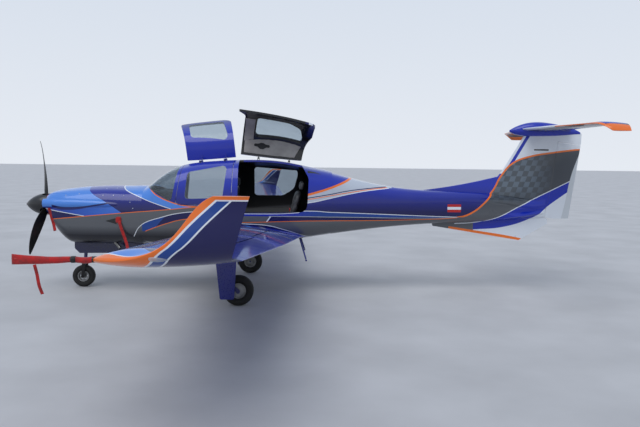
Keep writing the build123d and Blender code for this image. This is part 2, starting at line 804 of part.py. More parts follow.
prop_axis = Axis((0, 0, PROP_HEIGHT), (1, 0, 0))
blade_ribs = []
for radius, chord, sweep, pitch, thick in BLADE_SECTIONS:
    turn = radians(pitch)
    along = Vector(sin(turn), -cos(turn), 0)
    lead = Vector(at(PROP_PLANE), sweep, PROP_HEIGHT + radius) - along * (0.4 * chord)
    rib_place = Plane(origin=lead, x_dir=along, z_dir=(0, 0, 1))
    blade_ribs.append(foil(rib_place, chord, 0.3 * thick, 0.7 * thick, edge=2.0))
with BuildPart() as blade:
    loft(sections=blade_ribs)
    shank_foot = (at(PROP_PLANE), 0, PROP_HEIGHT + HUB_RADIUS - 30)
    add(tube(shank_foot, (at(PROP_PLANE), 0, PROP_HEIGHT + BLADE_SECTIONS[0][0] + 20), BLADE_SHANK / 2 + 6))

with BuildPart() as propeller:
    hub_start = (at(PROP_PLANE - 45), 0, PROP_HEIGHT)
    add(tube(hub_start, (at(SPINNER_END), 0, PROP_HEIGHT), HUB_RADIUS))
    add(tube(hub_start, (at(engine_front - SEAT), 0, PROP_HEIGHT), SHAFT_RADIUS))
    for index in range(3):
        add(blade.part.rotate(prop_axis, PROP_LEAN + 120 * index))
finish(propeller, "propeller")

with BuildPart() as spinner:
    with BuildSketch(Plane.XZ):
        with BuildLine():
            ThreePointArc((at(0), PROP_HEIGHT), (at(0.36 * SPINNER_END), PROP_HEIGHT + 0.73 * SPINNER_RADIUS),
                          (at(SPINNER_END), PROP_HEIGHT + SPINNER_RADIUS))
            Line((at(SPINNER_END), PROP_HEIGHT + SPINNER_RADIUS), (at(SPINNER_END), PROP_HEIGHT))
            Line((at(SPINNER_END), PROP_HEIGHT), (at(0), PROP_HEIGHT))
        make_face()
    revolve(axis=prop_axis)
    with BuildSketch(Plane.XZ):
        with BuildLine():
            inner = SPINNER_RADIUS - SPINNER_WALL
            back = SPINNER_END - 2 * SPINNER_WALL
            start = 2 * SPINNER_WALL
            middle = (at(start + 0.36 * (back - start)), PROP_HEIGHT + 0.73 * inner)
            ThreePointArc((at(start), PROP_HEIGHT), middle, (at(back), PROP_HEIGHT + inner))
            Line((at(back), PROP_HEIGHT + inner), (at(back), PROP_HEIGHT))
            Line((at(back), PROP_HEIGHT), (at(start), PROP_HEIGHT))
        make_face()
    revolve(axis=prop_axis, mode=Mode.SUBTRACT)
    hub_hole = tube((at(back - 5), 0, PROP_HEIGHT), (at(SPINNER_END + 5), 0, PROP_HEIGHT), HUB_RADIUS + SEAT)
    add(hub_hole, mode=Mode.SUBTRACT)
    blade_hole = tube((at(PROP_PLANE), 0, PROP_HEIGHT + 100), (at(PROP_PLANE), 0, PROP_HEIGHT + 220), BLADE_HOLE)
    for index in range(3):
        add(blade_hole.rotate(prop_axis, PROP_LEAN + 120 * index), mode=Mode.SUBTRACT)
finish(spinner, "spinner")

# Wing: port half, its hinged surfaces and its winglet, then the starboard twins
with BuildPart() as wing_half:
    loft(sections=[wing_foil(row) for row in WING_SECTIONS], ruled=True)


def surface_zones(span, share):
    """The zones of a hinged surface: its own, and the wider one cut from the wing."""
    start, start_radius = wing_hinge(span[0], share)
    end, end_radius = wing_hinge(span[1], share)
    radii = (start_radius - SEAT, end_radius - SEAT)
    own = minus(hinge_zone(start, end, *radii, 0), end_pins(start, end, SEAT))
    wide = minus(hinge_zone(start, end, *radii, GAP), end_pins(start, end, 0))
    return own, wide


flap_zone, flap_cut = surface_zones(FLAP_SPAN, FLAP_HINGE)
aileron_zone, aileron_cut = surface_zones(AILERON_SPAN, AILERON_HINGE)
wing_shape = minus(wing_half.part, cabin_body, flap_cut, aileron_cut)
flap_shape = common(wing_half.part, flap_zone)
aileron_shape = common(wing_half.part, aileron_zone)
with BuildPart() as winglet_half:
    loft(sections=[canted_foil(row, UPPER_SHARE) for row in WINGLET_SECTIONS])
wing_table = [
    ("wing", wing_shape),
    ("winglet", winglet_half.part),
    ("flap", flap_shape),
    ("aileron", aileron_shape),
]
for name, shape in wing_table:
    with BuildPart() as port_piece:
        add(shape)
    finish(port_piece, f"{name}_port")
    with BuildPart() as starboard_piece:
        mirror(shape, about=Plane.XZ)
    finish(starboard_piece, f"{name}_starboard")

# Tail
with BuildPart() as tail_half:
    loft(sections=[canted_foil(row, 0.5) for row in TAILPLANE_SECTIONS], ruled=True)
    loft(sections=[canted_foil(row, 0.5) for row in TAIL_TIP_SECTIONS])


def tail_hinge(y):
    """A point of the elevator's hinge line and half the tail's thickness there."""
    (_, z, lead0, trail0, share, _), (span, _, lead1, trail1, _, _) = TAILPLANE_SECTIONS
    lead = lead0 + (lead1 - lead0) * y / span
    chord = trail0 + (trail1 - trail0) * y / span - lead
    half = foil_height(chord, chord * share / 2, CREST, (ELEVATOR_HINGE - lead) / chord)
    return Vector(at(ELEVATOR_HINGE), -y, z), half


tail_start, tail_start_radius = tail_hinge(ELEVATOR_SPAN[0])
tail_end, tail_end_radius = tail_hinge(ELEVATOR_SPAN[1])
radii = (tail_start_radius - SEAT, tail_end_radius - SEAT)
inboard = slab(ELEVATOR_HINGE - 300, LENGTH, TAIL_HEIGHT - 300, TAIL_HEIGHT + 300, 900)
tail_pins = minus(end_pins(tail_start, tail_end, 0), inboard)
tail_bores = minus(end_pins(tail_start, tail_end, SEAT), inboard)
elevator_half = common(tail_half.part, minus(hinge_zone(tail_start, tail_end, *radii, 0), tail_bores))
elevator_cut = minus(hinge_zone(tail_start, tail_end, *radii, GAP), tail_pins)
tube_half = ELEVATOR_SPAN[0] + 5
tube_ends = [(at(ELEVATOR_HINGE), side * tube_half, TAIL_HEIGHT) for side in (-1, 1)]
tube_bore = tube(*tube_ends, ELEVATOR_TUBE + SEAT)

with BuildPart() as elevator:
    add(both(elevator_half))
    add(tube(*tube_ends, ELEVATOR_TUBE))
finish(elevator, "elevator")

with BuildPart() as tailplane:
    add(both(minus(tail_half.part, elevator_cut)))
    add(tube_bore, mode=Mode.SUBTRACT)
finish(tailplane, "horizontal_stabilizer")

bullet = body_loft(BULLET_SECTIONS, 0)
with BuildPart() as tail_fairing:
    add(bullet)
    add(both(tail_half.part), mode=Mode.SUBTRACT)
    add(tube_bore, mode=Mode.SUBTRACT)
finish(tail_fairing, "tail_fairing")


def fin_row(z):
    """The fin's leading edge, trailing edge and thickness at a height."""
    for lower, upper in zip(FIN_SECTIONS, FIN_SECTIONS[1:]):
        if z <= upper[0]:
            part_way = (z - lower[0]) / (upper[0] - lower[0])
            return [a + (b - a) * part_way for a, b in zip(lower[1:], upper[1:])]
    return list(FIN_SECTIONS[-1][1:])


def rudder_hinge(z):
    """A point of the rudder's hinge line and half the fin's thickness there."""
    lead, trail, thick = fin_row(z)
    chord = trail - lead
    half = foil_height(chord, thick / 2, CREST, 1 - RUDDER_CHORD / chord)
    return Vector(at(trail - RUDDER_CHORD), 0, z), half


fin_ribs = []
for z, lead, trail, thick in FIN_SECTIONS:
    rib_place = Plane(origin=(at(lead), 0, z), x_dir=(1, 0, 0), z_dir=(0, 0, 1))
    fin_ribs.append(foil(rib_place, trail - lead, thick / 2, thick / 2))
with BuildPart() as fin_shape:
    loft(sections=fin_ribs, ruled=True)
rudder_foot, foot_radius = rudder_hinge(RUDDER_SPAN[0])
rudder_head, head_radius = rudder_hinge(RUDDER_SPAN[1])
rudder_radii = (foot_radius - SEAT, head_radius - SEAT)

rudder_pins = end_pins(rudder_foot, rudder_head, 0)
rudder_cut = minus(hinge_zone(rudder_foot, rudder_head, *rudder_radii, GAP), rudder_pins)
with BuildPart() as rudder:
    add(common(fin_shape.part, hinge_zone(rudder_foot, rudder_head, *rudder_radii, 0)))
    add(end_pins(rudder_foot, rudder_head, SEAT), mode=Mode.SUBTRACT)
finish(rudder, "rudder")

dorsal_ribs = []
for station, foot_half, crown, edge in DORSAL_SECTIONS:
    with BuildSketch(Plane.YZ.offset(at(station))) as rib:
        with BuildLine():
            Line((-foot_half, DORSAL_FOOT), (-edge, crown - edge))
            ThreePointArc((-edge, crown - edge), (0, crown), (edge, crown - edge))
            Line((edge, crown - edge), (foot_half, DORSAL_FOOT))
            Line((foot_half, DORSAL_FOOT), (-foot_half, DORSAL_FOOT))
        make_face()
    dorsal_ribs.append(rib.sketch)
with BuildPart() as fin_whole:
    add(common(fin_shape.part, slab(7000, LENGTH + 50, FIN_FOOT, 2700)))
    loft(sections=dorsal_ribs)
    add(boom_body, mode=Mode.SUBTRACT)
    add(rudder_cut, mode=Mode.SUBTRACT)
    add(bullet, mode=Mode.SUBTRACT)
with BuildPart() as fin:
    add(largest(fin_whole.part))
finish(fin, "fin")

with BuildPart() as tail_boom:
    add(boom_body)
    boom_room = common(body_loft(boom_rows[:-1], WALL), slab(CABIN_END + WALL, BOOM_ROOM_END))
    add(boom_room, mode=Mode.SUBTRACT)
    add(rudder_cut, mode=Mode.SUBTRACT)
finish(tail_boom, "tail_boom")

with BuildPart() as ventral_fin:
    with BuildSketch(Plane.XZ.offset(-VENTRAL_THICKNESS / 2)):
        Polygon(*[(at(x), z) for x, z in VENTRAL], align=None)
    extrude(amount=VENTRAL_THICKNESS)
    add(boom_body, mode=Mode.SUBTRACT)
    ring_x, ring_z, ring_radius = TAIL_RING
    ring_ends = [(at(ring_x), side * VENTRAL_THICKNESS, ring_z) for side in (-1, 1)]
    add(tube(*ring_ends, ring_radius), mode=Mode.SUBTRACT)
    add(rudder_cut, mode=Mode.SUBTRACT)
    add(common(rudder_pins, slab(8500, 8900, 1100, 1400)))
finish(ventral_fin, "ventral_fin")

# Nose gear
lean = tan(radians(STEER_RAKE))


def steer_point(z):
    """A point of the steering axis."""
    return (at(STEER_STATION + (z - STEER_Z) * lean), 0, z)


nose_centre = (at(NOSE_STATION), 0, NOSE_TYRE_RADIUS)
with BuildPart() as nose_leg:
    add(tube(steer_point(STEER_JOINT_Z + SEAT), steer_point(STRUT_TOP_Z), STRUT_RADIUS))
    top = steer_point(STRUT_TOP_Z - 20)
    side_reach = bay_half + 20
    add(tube((top[0], -side_reach, top[2]), (top[0], side_reach, top[2]), 16))
    for y in (-side_reach, side_reach):
        add(tube((top[0], y, top[2]), (at(FIREWALL + 10), y, top[2] + 30), 12))
    brace_top = (at(engine_front + 80), 0, engine_low + 10)
    add(tube(steer_point(STEER_JOINT_Z + 90), brace_top, 11))
    add(slab(0, FIREWALL, engine_low - SEAT, HIGH), mode=Mode.SUBTRACT)
    add(slab(FIREWALL - SEAT, FIREWALL + 100, 0, HIGH), mode=Mode.SUBTRACT)
finish(nose_leg, "nose_gear_leg")

fork_half = NOSE_TYRE_WIDTH / 2 + 8
fork_plate = 14.0
with BuildPart() as nose_fork:
    crown = steer_point(FORK_CROWN_Z)
    with BuildSketch(Plane.XZ.offset(-fork_half - fork_plate)):
        side_view = [(crown[0] - 30, FORK_CROWN_Z + 25), (crown[0] + 30, FORK_CROWN_Z + 25),
                     (nose_centre[0] + 22, NOSE_TYRE_RADIUS), (nose_centre[0] - 22, NOSE_TYRE_RADIUS)]
        Polygon(*side_view, align=None)
        with Locations((nose_centre[0], NOSE_TYRE_RADIUS)):
            Circle(26)
    extrude(amount=2 * (fork_half + fork_plate))
    tyre_room = block(NOSE_STATION - 300, NOSE_STATION + 300, -fork_half, fork_half, 0, FORK_CROWN_Z)
    add(tyre_room, mode=Mode.SUBTRACT)
    add(tube(crown, steer_point(STEER_JOINT_Z), STRUT_RADIUS - 5))
    axle_reach = fork_half + fork_plate + 6
    axle_ends = [(nose_centre[0], side * axle_reach, nose_centre[2]) for side in (-1, 1)]
    add(tube(*axle_ends, AXLE_RADIUS))
    add(tube(*axle_ends, AXLE_BORE), mode=Mode.SUBTRACT)
finish(nose_fork, "nose_fork")

with BuildPart() as nose_rim:
    add(wheel_rim(nose_centre, NOSE_RIM_RADIUS, NOSE_RIM_WIDTH))
finish(nose_rim, "nose_wheel_rim")

with BuildPart() as nose_tyre:
    add(wheel_tyre(nose_centre, NOSE_RIM_RADIUS, NOSE_RIM_WIDTH, NOSE_TYRE_RADIUS, NOSE_TYRE_WIDTH))
finish(nose_tyre, "nose_wheel_tyre")

with BuildPart() as nose_doors:
    with BuildSketch(Plane.XZ.offset(bay_half + 2)):
        with BuildLine():
            FilletPolyline([(at(x), z) for x, z in NOSE_DOOR], radius=20, close=True)
        make_face()
    extrude(amount=GEAR_DOOR_THICKNESS)
    mirror(about=Plane.XZ)
    add(cowl_outer, mode=Mode.SUBTRACT)
finish(nose_doors, "nose_gear_doors")

# Main gear: port leg with its trailing arm, then the starboard twin
main_centre = (at(MAIN_STATION), -MAIN_TRACK / 2, MAIN_TYRE_RADIUS)
wheel_side = MAIN_TRACK / 2 + MAIN_TYRE_WIDTH / 2 + 8
with BuildPart() as leg_half:
    foot = (at(LEG_STATION), -LEG_Y, LEG_FOOT_Z)
    add(tube(foot, (at(LEG_STATION), -LEG_Y, 1100), LEG_RADIUS))
    with BuildSketch(Plane.XZ.offset(wheel_side)):
        Polygon((at(LEG_STATION) - 30, LEG_FOOT_Z - 24), (at(LEG_STATION) - 30, LEG_FOOT_Z + 30),
                (at(LEG_STATION) + 26, LEG_FOOT_Z + 34), (main_centre[0] + 20, main_centre[2] + 26),
                (main_centre[0] + 20, main_centre[2] - 26), align=None)
        with Locations((main_centre[0], main_centre[2])):
            Circle(30)
        with Locations((at(LEG_STATION), LEG_FOOT_Z)):
            Circle(30)
    extrude(amount=ARM_THICKNESS)
    axle_inner = (main_centre[0], -MAIN_TRACK / 2 + MAIN_RIM_WIDTH / 2 + 8, main_centre[2])
    add(tube((main_centre[0], -wheel_side - 10, main_centre[2]), axle_inner, AXLE_RADIUS))
    caliper_x, caliper_y, caliper_z = CALIPER
    caliper_back = MAIN_STATION - 45
    caliper_foot = MAIN_TYRE_RADIUS + 35
    add(block(caliper_back - caliper_x, caliper_back, -wheel_side, caliper_y - wheel_side,
              caliper_foot, caliper_foot + caliper_z))
    for z in (LEG_FOOT_Z + 40, 700):
        reach = (at(LEG_STATION), -LEG_DOOR_Y, z)
        add(tube((at(LEG_STATION), -LEG_Y, z), reach, 12))
    add(wing_half.part, mode=Mode.SUBTRACT)

with BuildPart() as leg_door_half:
    with BuildSketch(Plane.XZ.offset(LEG_DOOR_Y + SEAT)):
        with BuildLine():
            FilletPolyline([(at(x), z) for x, z in LEG_DOOR], radius=24, close=True)
        make_face()
    extrude(amount=GEAR_DOOR_THICKNESS)

with BuildPart() as main_rim:
    add(wheel_rim(main_centre, MAIN_RIM_RADIUS, MAIN_RIM_WIDTH))
    disc_y = main_centre[1] - MAIN_RIM_WIDTH / 2
    disc_ends = [(main_centre[0], disc_y - reach, main_centre[2]) for reach in (-1, DISC_THICKNESS)]
    add(minus(tube(*disc_ends, DISC_RADIUS), tube(*disc_ends, AXLE_RADIUS + SEAT)))
rim_half = main_rim.part
tyre_half = wheel_tyre(main_centre, MAIN_RIM_RADIUS, MAIN_RIM_WIDTH, MAIN_TYRE_RADIUS, MAIN_TYRE_WIDTH)
gear_table = [("main_gear_leg", leg_half.part), ("main_wheel_rim", rim_half), ("main_wheel_tyre", tyre_half)]
for name, shape in gear_table:
    with BuildPart() as port_piece:
        add(shape)
    finish(port_piece, f"{name}_port")
    with BuildPart() as starboard_piece:
        mirror(shape, about=Plane.XZ)
    finish(starboard_piece, f"{name}_starboard")

with BuildPart() as leg_doors:
    add(both(leg_door_half.part))
finish(leg_doors, "main_leg_doors")

# Cabin furniture
with BuildPart() as cabin_floor:
    add(cabin_room)
    add(slab(FIREWALL, CABIN_END, FLOOR_Z, FLOOR_Z + FLOOR_THICKNESS), mode=Mode.INTERSECT)
finish(cabin_floor, "cabin_floor")

with BuildPart() as panel:
    low, high = PANEL_Z
    add(slab(PANEL_STATION, PANEL_STATION + PANEL_THICKNESS, low, high))
    with BuildSketch(Plane.YZ.offset(at(PANEL_STATION + PANEL_THICKNESS))):
        with Locations(*SCREENS):
            RectangleRounded(*SCREEN_SIZE, SCREEN_RIM)
            offset_size = [size - 2 * SCREEN_RIM for size in SCREEN_SIZE]
            RectangleRounded(*offset_size, SCREEN_RIM / 2, mode=Mode.SUBTRACT)
    extrude(amount=SCREEN_RIM)
    with BuildSketch(Plane.YZ.offset(at(PANEL_STATION + PANEL_THICKNESS))):
        with Locations((0, (low + SCREENS[0][1] - SCREEN_SIZE[1] / 2) / 2)):
            with GridLocations(4 * KNOB_RADIUS, 1, 13, 1):
                Circle(KNOB_RADIUS)
    extrude(amount=2 * KNOB_RADIUS)
    add(slab(FIREWALL, PANEL_STATION + PANEL_THICKNESS + 40, high, high + GLARE_THICKNESS))
    add(cabin_room, mode=Mode.INTERSECT)
finish(panel, "instrument_panel")

floor_top = FLOOR_Z + FLOOR_THICKNESS + SEAT
with BuildPart() as console:
    front = PANEL_STATION
    back = PANEL_STATION + CONSOLE_LENGTH
    add(block(front, back, -CONSOLE_HALF, CONSOLE_HALF, floor_top, CONSOLE_TOP))
    back = front + PANEL_THICKNESS
    add(block(front, back, -1.8 * CONSOLE_HALF, 1.8 * CONSOLE_HALF, floor_top, PANEL_Z[0] - SEAT))
    lever_foot = (at(front + 160), 0, CONSOLE_TOP - 10)
    lever_head = (at(front + 130), 0, CONSOLE_TOP + 70)
    add(tube(lever_foot, lever_head, LEVER_RADIUS))
    with Locations(lever_head):
        Sphere(LEVER_KNOB)
finish(console, "centre_console")

for name, side in (("port", -1), ("starboard", 1)):
    with BuildPart() as front_seat:
        add(seat(FRONT_SEAT, SEAT_WIDTH, side * SEAT_Y, 28))
        y = side * SEAT_Y
        add(block(FRONT_SEAT[0][0] + 80, FRONT_SEAT[0][0] + 480, y - 190, y + 190, floor_top, 1030))
    finish(front_seat, f"front_seat_{name}")

with BuildPart() as bench:
    add(seat(REAR_BENCH, BENCH_WIDTH, 0, 20))
finish(bench, "rear_bench")

with BuildPart() as sticks:
    for y in (-SEAT_Y, SEAT_Y):
        add(tube((at(2739), y, floor_top - 20), (at(2770), y, 1300), 11))
        add(tube((at(2769), y, 1290), (at(2790), y, 1390), 17))
    add(slab(2600, 2900, 0, floor_top), mode=Mode.SUBTRACT)
finish(sticks, "control_sticks")

# Boarding steps, exhaust, roof scoop, air-data boom and rings
with BuildPart() as steps:
    step_half = tube((at(4470), -430, 930), (at(4584), -620, 564), 13)
    peg_half = tube((at(4584), -560, 560), (at(4584), -700, 560), 15)
    for shape in (step_half, peg_half):
        add(both(minus(shape, cabin_body)))
finish(steps, "boarding_steps")

with BuildPart() as exhaust:
    add(minus(tube((at(1480), -300, 820), (at(1600), -340, 690), 27), cowl_outer))
    add(tube((at(1480), -300, 820), (at(1600), -340, 690), 23), mode=Mode.SUBTRACT)
finish(exhaust, "exhaust_pipe")

tip_y = WING_SECTIONS[-1][0]
tip_z = WING_SECTIONS[-1][3]
with BuildPart() as boom:
    add(tube((at(2460), -tip_y + 20, tip_z), (at(3060), -tip_y + 20, tip_z), 12))
    add(tube((at(2980), -tip_y + 20, tip_z), (at(3040), -tip_y + 20, tip_z), 22))
    add(tube((at(2838), -tip_y + 20, tip_z), (at(2870), -tip_y + 20, tip_z), 20))
    add(wing_half.part, mode=Mode.SUBTRACT)
    add(winglet_half.part, mode=Mode.SUBTRACT)
finish(boom, "air_data_boom")

with BuildPart() as boom_cover:
    with BuildSketch(Plane.XZ.offset(tip_y - 20)):
        Polygon((at(2440), tip_z + 12.3), (at(2837), tip_z + 12.3), (at(2837), tip_z + 30),
                (at(2700), tip_z + 34), (at(2440), tip_z + 48), align=None)
    revolve(axis=Axis((0, -tip_y + 20, tip_z), (1, 0, 0)))
finish(boom_cover, "boom_cover")

ring_x, ring_y, ring_z, ring_radius, ring_thick = WING_RING
with BuildPart() as ring_half:
    with BuildSketch(Plane.XZ.offset(ring_y - ring_thick / 2)):
        with Locations((at(ring_x), ring_z)):
            Circle(2 * ring_radius)
        with Locations((at(ring_x), ring_z + 2 * ring_radius)):
            Rectangle(2.4 * ring_radius, 4 * ring_radius)
        with Locations((at(ring_x), ring_z)):
            Circle(ring_radius, mode=Mode.SUBTRACT)
    extrude(amount=ring_thick)
    add(wing_half.part, mode=Mode.SUBTRACT)
with BuildPart() as tie_downs:
    add(both(ring_half.part))
finish(tie_downs, "tie_down_rings")
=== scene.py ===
"""Light aircraft: paints and furnishes the frame, and sets its light and camera.

The nose points towards -X, starboard is +Y, up is +Z, in metres. A station is a distance aft
of the spinner's tip.
"""

import json
from functools import partialmethod, reduce
from math import cos, pi, radians, sin, tau

import bmesh
import bpy
from mathutils import Matrix, Vector
from mathutils.bvhtree import BVHTree


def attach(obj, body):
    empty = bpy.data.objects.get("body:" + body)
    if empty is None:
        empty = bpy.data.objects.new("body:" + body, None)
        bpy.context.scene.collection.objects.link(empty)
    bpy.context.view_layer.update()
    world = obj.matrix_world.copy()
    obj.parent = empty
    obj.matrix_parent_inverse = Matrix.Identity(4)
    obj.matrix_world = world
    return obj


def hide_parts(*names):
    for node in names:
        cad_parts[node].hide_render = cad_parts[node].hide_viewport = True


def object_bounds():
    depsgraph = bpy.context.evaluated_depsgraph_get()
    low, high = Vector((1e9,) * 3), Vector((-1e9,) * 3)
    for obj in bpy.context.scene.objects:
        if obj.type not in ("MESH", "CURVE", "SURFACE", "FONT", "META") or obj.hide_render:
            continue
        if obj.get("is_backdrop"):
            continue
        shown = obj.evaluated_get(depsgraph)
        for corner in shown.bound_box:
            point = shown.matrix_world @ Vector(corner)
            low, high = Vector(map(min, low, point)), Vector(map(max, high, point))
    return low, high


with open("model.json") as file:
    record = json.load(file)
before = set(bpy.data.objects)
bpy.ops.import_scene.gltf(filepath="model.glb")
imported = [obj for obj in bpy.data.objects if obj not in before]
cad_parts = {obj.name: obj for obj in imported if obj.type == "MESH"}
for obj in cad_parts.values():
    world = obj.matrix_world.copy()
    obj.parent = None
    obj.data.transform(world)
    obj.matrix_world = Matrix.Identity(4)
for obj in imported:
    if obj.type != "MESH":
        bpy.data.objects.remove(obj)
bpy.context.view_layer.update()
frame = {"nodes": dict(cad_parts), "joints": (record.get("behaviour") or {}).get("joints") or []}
nodes = frame["nodes"]
NOSE_X = 4.615

# Colours as they look on a screen: red, green and blue, each from 0 to 1
ROYAL = (0.0, 0.14, 0.66)
NAVY = (0.0, 0.0, 0.30)
DEEP = (0.02, 0.025, 0.10)
SKY = (0.28, 0.52, 0.86)
MEDIUM = (0.03, 0.24, 0.56)
ORANGE = (0.94, 0.45, 0.12)
WHITE = (0.88, 0.90, 0.93)
GREY = (0.36, 0.37, 0.39)
SILVER = (0.62, 0.64, 0.66)
PEARL = (0.72, 0.75, 0.80)
DARK_GREY = (0.25, 0.27, 0.30)
RED = (0.72, 0.05, 0.05)


def linear(colour):
    """The scene-linear value of a colour as it looks on a screen."""
    curved = (c / 12.92 if c <= 0.04045 else ((c + 0.055) / 1.055) ** 2.4 for c in colour)
    return (*curved, 1.0)


class Net:
    """Adds shader nodes to a tree and links them."""

    def __init__(self, tree):
        self.tree = tree

    def put(self, socket, value):
        if isinstance(value, bpy.types.NodeSocket):
            self.tree.links.new(value, socket)
        elif socket.type == "RGBA":
            socket.default_value = linear(value) if len(value) == 3 else value
        else:
            socket.default_value = value

    def node(self, kind, values=(), **settings):
        made = self.tree.nodes.new(kind if kind.startswith("NodeGroup") else f"ShaderNode{kind}")
        for key, value in settings.items():
            setattr(made, key, value)
        for key, value in dict(values).items():
            self.put(made.inputs[key], value)
        return made

    def math(self, operation, a, b=0.0, c=0.0):
        values = {0: a, 1: b, 2: c}
        return self.node("Math", values, operation=operation).outputs[0]

    plus = partialmethod(math, "ADD")
    minus = partialmethod(math, "SUBTRACT")
    times = partialmethod(math, "MULTIPLY")
    more = partialmethod(math, "MULTIPLY_ADD")
    either = partialmethod(math, "MAXIMUM")
    size = partialmethod(math, "ABSOLUTE")
    wave = partialmethod(math, "SINE")
    over = partialmethod(math, "GREATER_THAN")
    under = partialmethod(math, "LESS_THAN")

    def apart(self, a, b):
        return self.size(self.minus(a, b))

    def axes(self, vector):
        return self.node("SeparateXYZ", {0: vector}).outputs

    def bump(self, height, strength, distance):
        values = {"Height": height, "Strength": strength, "Distance": distance}
        return self.node("Bump", values).outputs[0]

    def mix(self, factor, a, b):
        made = self.node("Mix", data_type="RGBA")
        self.put(made.inputs[0], factor)
        self.put(made.inputs[6], a)
        self.put(made.inputs[7], b)
        return made.outputs[2]

    def scale(self, value, low, high, to_low=0.0, to_high=1.0):
        values = {0: value, 1: low, 2: high, 3: to_low, 4: to_high}
        return self.node("MapRange", values).outputs[0]

    def noise(self, vector, scale, detail=2.0, rough=0.5):
        values = {"Vector": vector, "Scale": scale, "Detail": detail, "Roughness": rough}
        return self.node("TexNoise", values).outputs[0]

    def both(self, *masks):
        return reduce(self.times, masks)

    def flip(self, mask):
        return self.minus(1.0, mask)

    def span(self, value, low, high):
        return self.both(self.over(value, low), self.under(value, high))

    def curve(self, coordinate, points):
        """The height of a smooth line through points, level beyond its two ends."""
        xs = [p[0] for p in points]
        zs = [p[1] for p in points]
        x0, x1, z0 = min(xs), max(xs), min(zs)
        height = max(max(zs) - z0, 1e-4)
        made = self.node("FloatCurve", {"Value": self.scale(coordinate, x0, x1)})
        line = made.mapping.curves[0]
        while len(line.points) < len(points):
            line.points.new(0.5, 0.5)
        for point, (x, z) in zip(line.points, sorted(points)):
            point.location = ((x - x0) / (x1 - x0), (z - z0) / height)
            point.handle_type = "AUTO_CLAMPED"
        made.mapping.update()
        return self.more(made.outputs[0], height, z0)

    def ribbon(self, x, z, points, width):
        """A mask along a line of even width, between the line's two offset edges."""
        edges = []
        for side in (-0.5, 0.5):
            moved = []
            for i, (px, pz) in enumerate(points):
                ahead = Vector(points[min(i + 1, len(points) - 1)])
                run = (ahead - Vector(points[max(i - 1, 0)])).normalized()
                moved.append((px - run.y * side * width, pz + run.x * side * width))
            edges.append(self.curve(x, moved))
        low, high = edges
        flat = self.both(self.over(z, low), self.under(z, high))
        ends = self.span(x, min(p[0] for p in points), max(p[0] for p in points))
        return self.both(flat, ends)


class Coat:
    """Colours laid one over another, each where all its masks meet."""

    def __init__(self, net, colour):
        self.net = net
        self.colour = colour

    def lay(self, tint, *masks):
        self.colour = self.net.mix(self.net.both(*masks), self.colour, tint)


def group(name, draw):
    """A node group from a vector to a colour, drawn by a function of (net, x, y, z)."""
    tree = bpy.data.node_groups.new(name, "ShaderNodeTree")
    tree.interface.new_socket("Vector", in_out="INPUT", socket_type="NodeSocketVector")
    tree.interface.new_socket("Color", in_out="OUTPUT", socket_type="NodeSocketColor")
    net = Net(tree)
    start = net.node("NodeGroupInput")
    end = net.node("NodeGroupOutput")
    split = net.axes(start.outputs[0])
    station = net.plus(split[0], NOSE_X)
    net.put(end.inputs[0], draw(net, station, split[1], split[2]))
    return tree


# Side view of the paint: stations and heights of its lines, or heights and stations of the
# steep ones, which are the nose line, the tail curve, the fin's front and the rudder's strip
WAIST_LINE = [
    (0.40, 1.135), (0.648, 1.166), (1.087, 1.213), (1.68, 1.271), (2.425, 1.339), (2.863, 1.383),
    (3.55, 1.405),
]
WEDGE_LINE = [(0.40, 1.32), (0.547, 1.298), (0.793, 1.262), (1.087, 1.217)]
NOSE_LINE = [(1.66, 1.10), (1.588, 1.173), (1.435, 1.440), (1.270, 1.690)]
SWEEP_LOW = [
    (1.60, 1.70), (1.734, 1.619), (1.880, 1.558), (2.086, 1.475), (2.292, 1.403), (2.46, 1.350),
]
SWEEP_HIGH = [
    (2.06, 1.72), (2.151, 1.626), (2.242, 1.554), (2.424, 1.470), (2.645, 1.408), (2.90, 1.385),
]
SWOOSH_HIGH = [
    (1.86, 0.90), (1.975, 1.075), (2.087, 1.144), (2.313, 1.216), (2.535, 1.275), (2.841, 1.312),
    (3.6, 1.34),
]
SWOOSH_LOW = [
    (2.05, 0.99), (2.218, 1.057), (2.422, 1.128), (2.643, 1.184), (3.0, 1.215), (3.6, 1.235),
]
BAND_TOP = [
    (3.55, 1.285), (4.0, 1.285), (4.45, 1.305), (4.581, 1.331), (4.962, 1.31), (5.455, 1.288),
    (6.491, 1.243), (7.155, 1.221),
]
BAND_LOW = [
    (3.55, 1.25), (4.02, 1.248), (4.5, 1.243), (5.0, 1.232), (5.455, 1.222), (6.49, 1.205),
    (7.1, 1.215),
]
FOOT_LINE = [
    (3.55, 1.146), (3.966, 1.157), (4.324, 1.167), (4.767, 1.172), (5.542, 1.168), (6.6, 1.185),
    (7.1, 1.212),
]
KEEL_LINE = [
    (3.40, 1.14), (3.571, 1.128), (3.966, 1.101), (4.219, 1.035), (4.495, 0.943), (4.72, 0.86),
]
FAN_HIGH = [
    (3.62, 1.425), (4.1, 1.47), (4.615, 1.590), (4.945, 1.688), (5.196, 1.788), (5.345, 1.87),
]
FAN_NAVY = [
    (3.62, 1.415), (4.1, 1.45), (4.622, 1.539), (4.958, 1.594), (5.286, 1.654), (5.623, 1.691),
    (5.90, 1.712),
]
FAN_ORANGE = [
    (3.62, 1.41), (4.1, 1.44), (4.630, 1.517), (4.958, 1.571), (5.286, 1.625), (5.621, 1.672),
    (5.92, 1.701),
]
FAN_WHITE = [
    (3.62, 1.40), (4.1, 1.41), (4.607, 1.460), (4.959, 1.531), (5.286, 1.601), (5.620, 1.657),
    (5.95, 1.692),
]
TAIL_CURVE = [
    (1.221, 7.10), (1.235, 7.20), (1.312, 7.373), (1.458, 7.555), (1.670, 7.738), (1.927, 7.883),
    (2.148, 8.094), (2.242, 8.341), (2.320, 8.790), (2.380, 9.26),
]
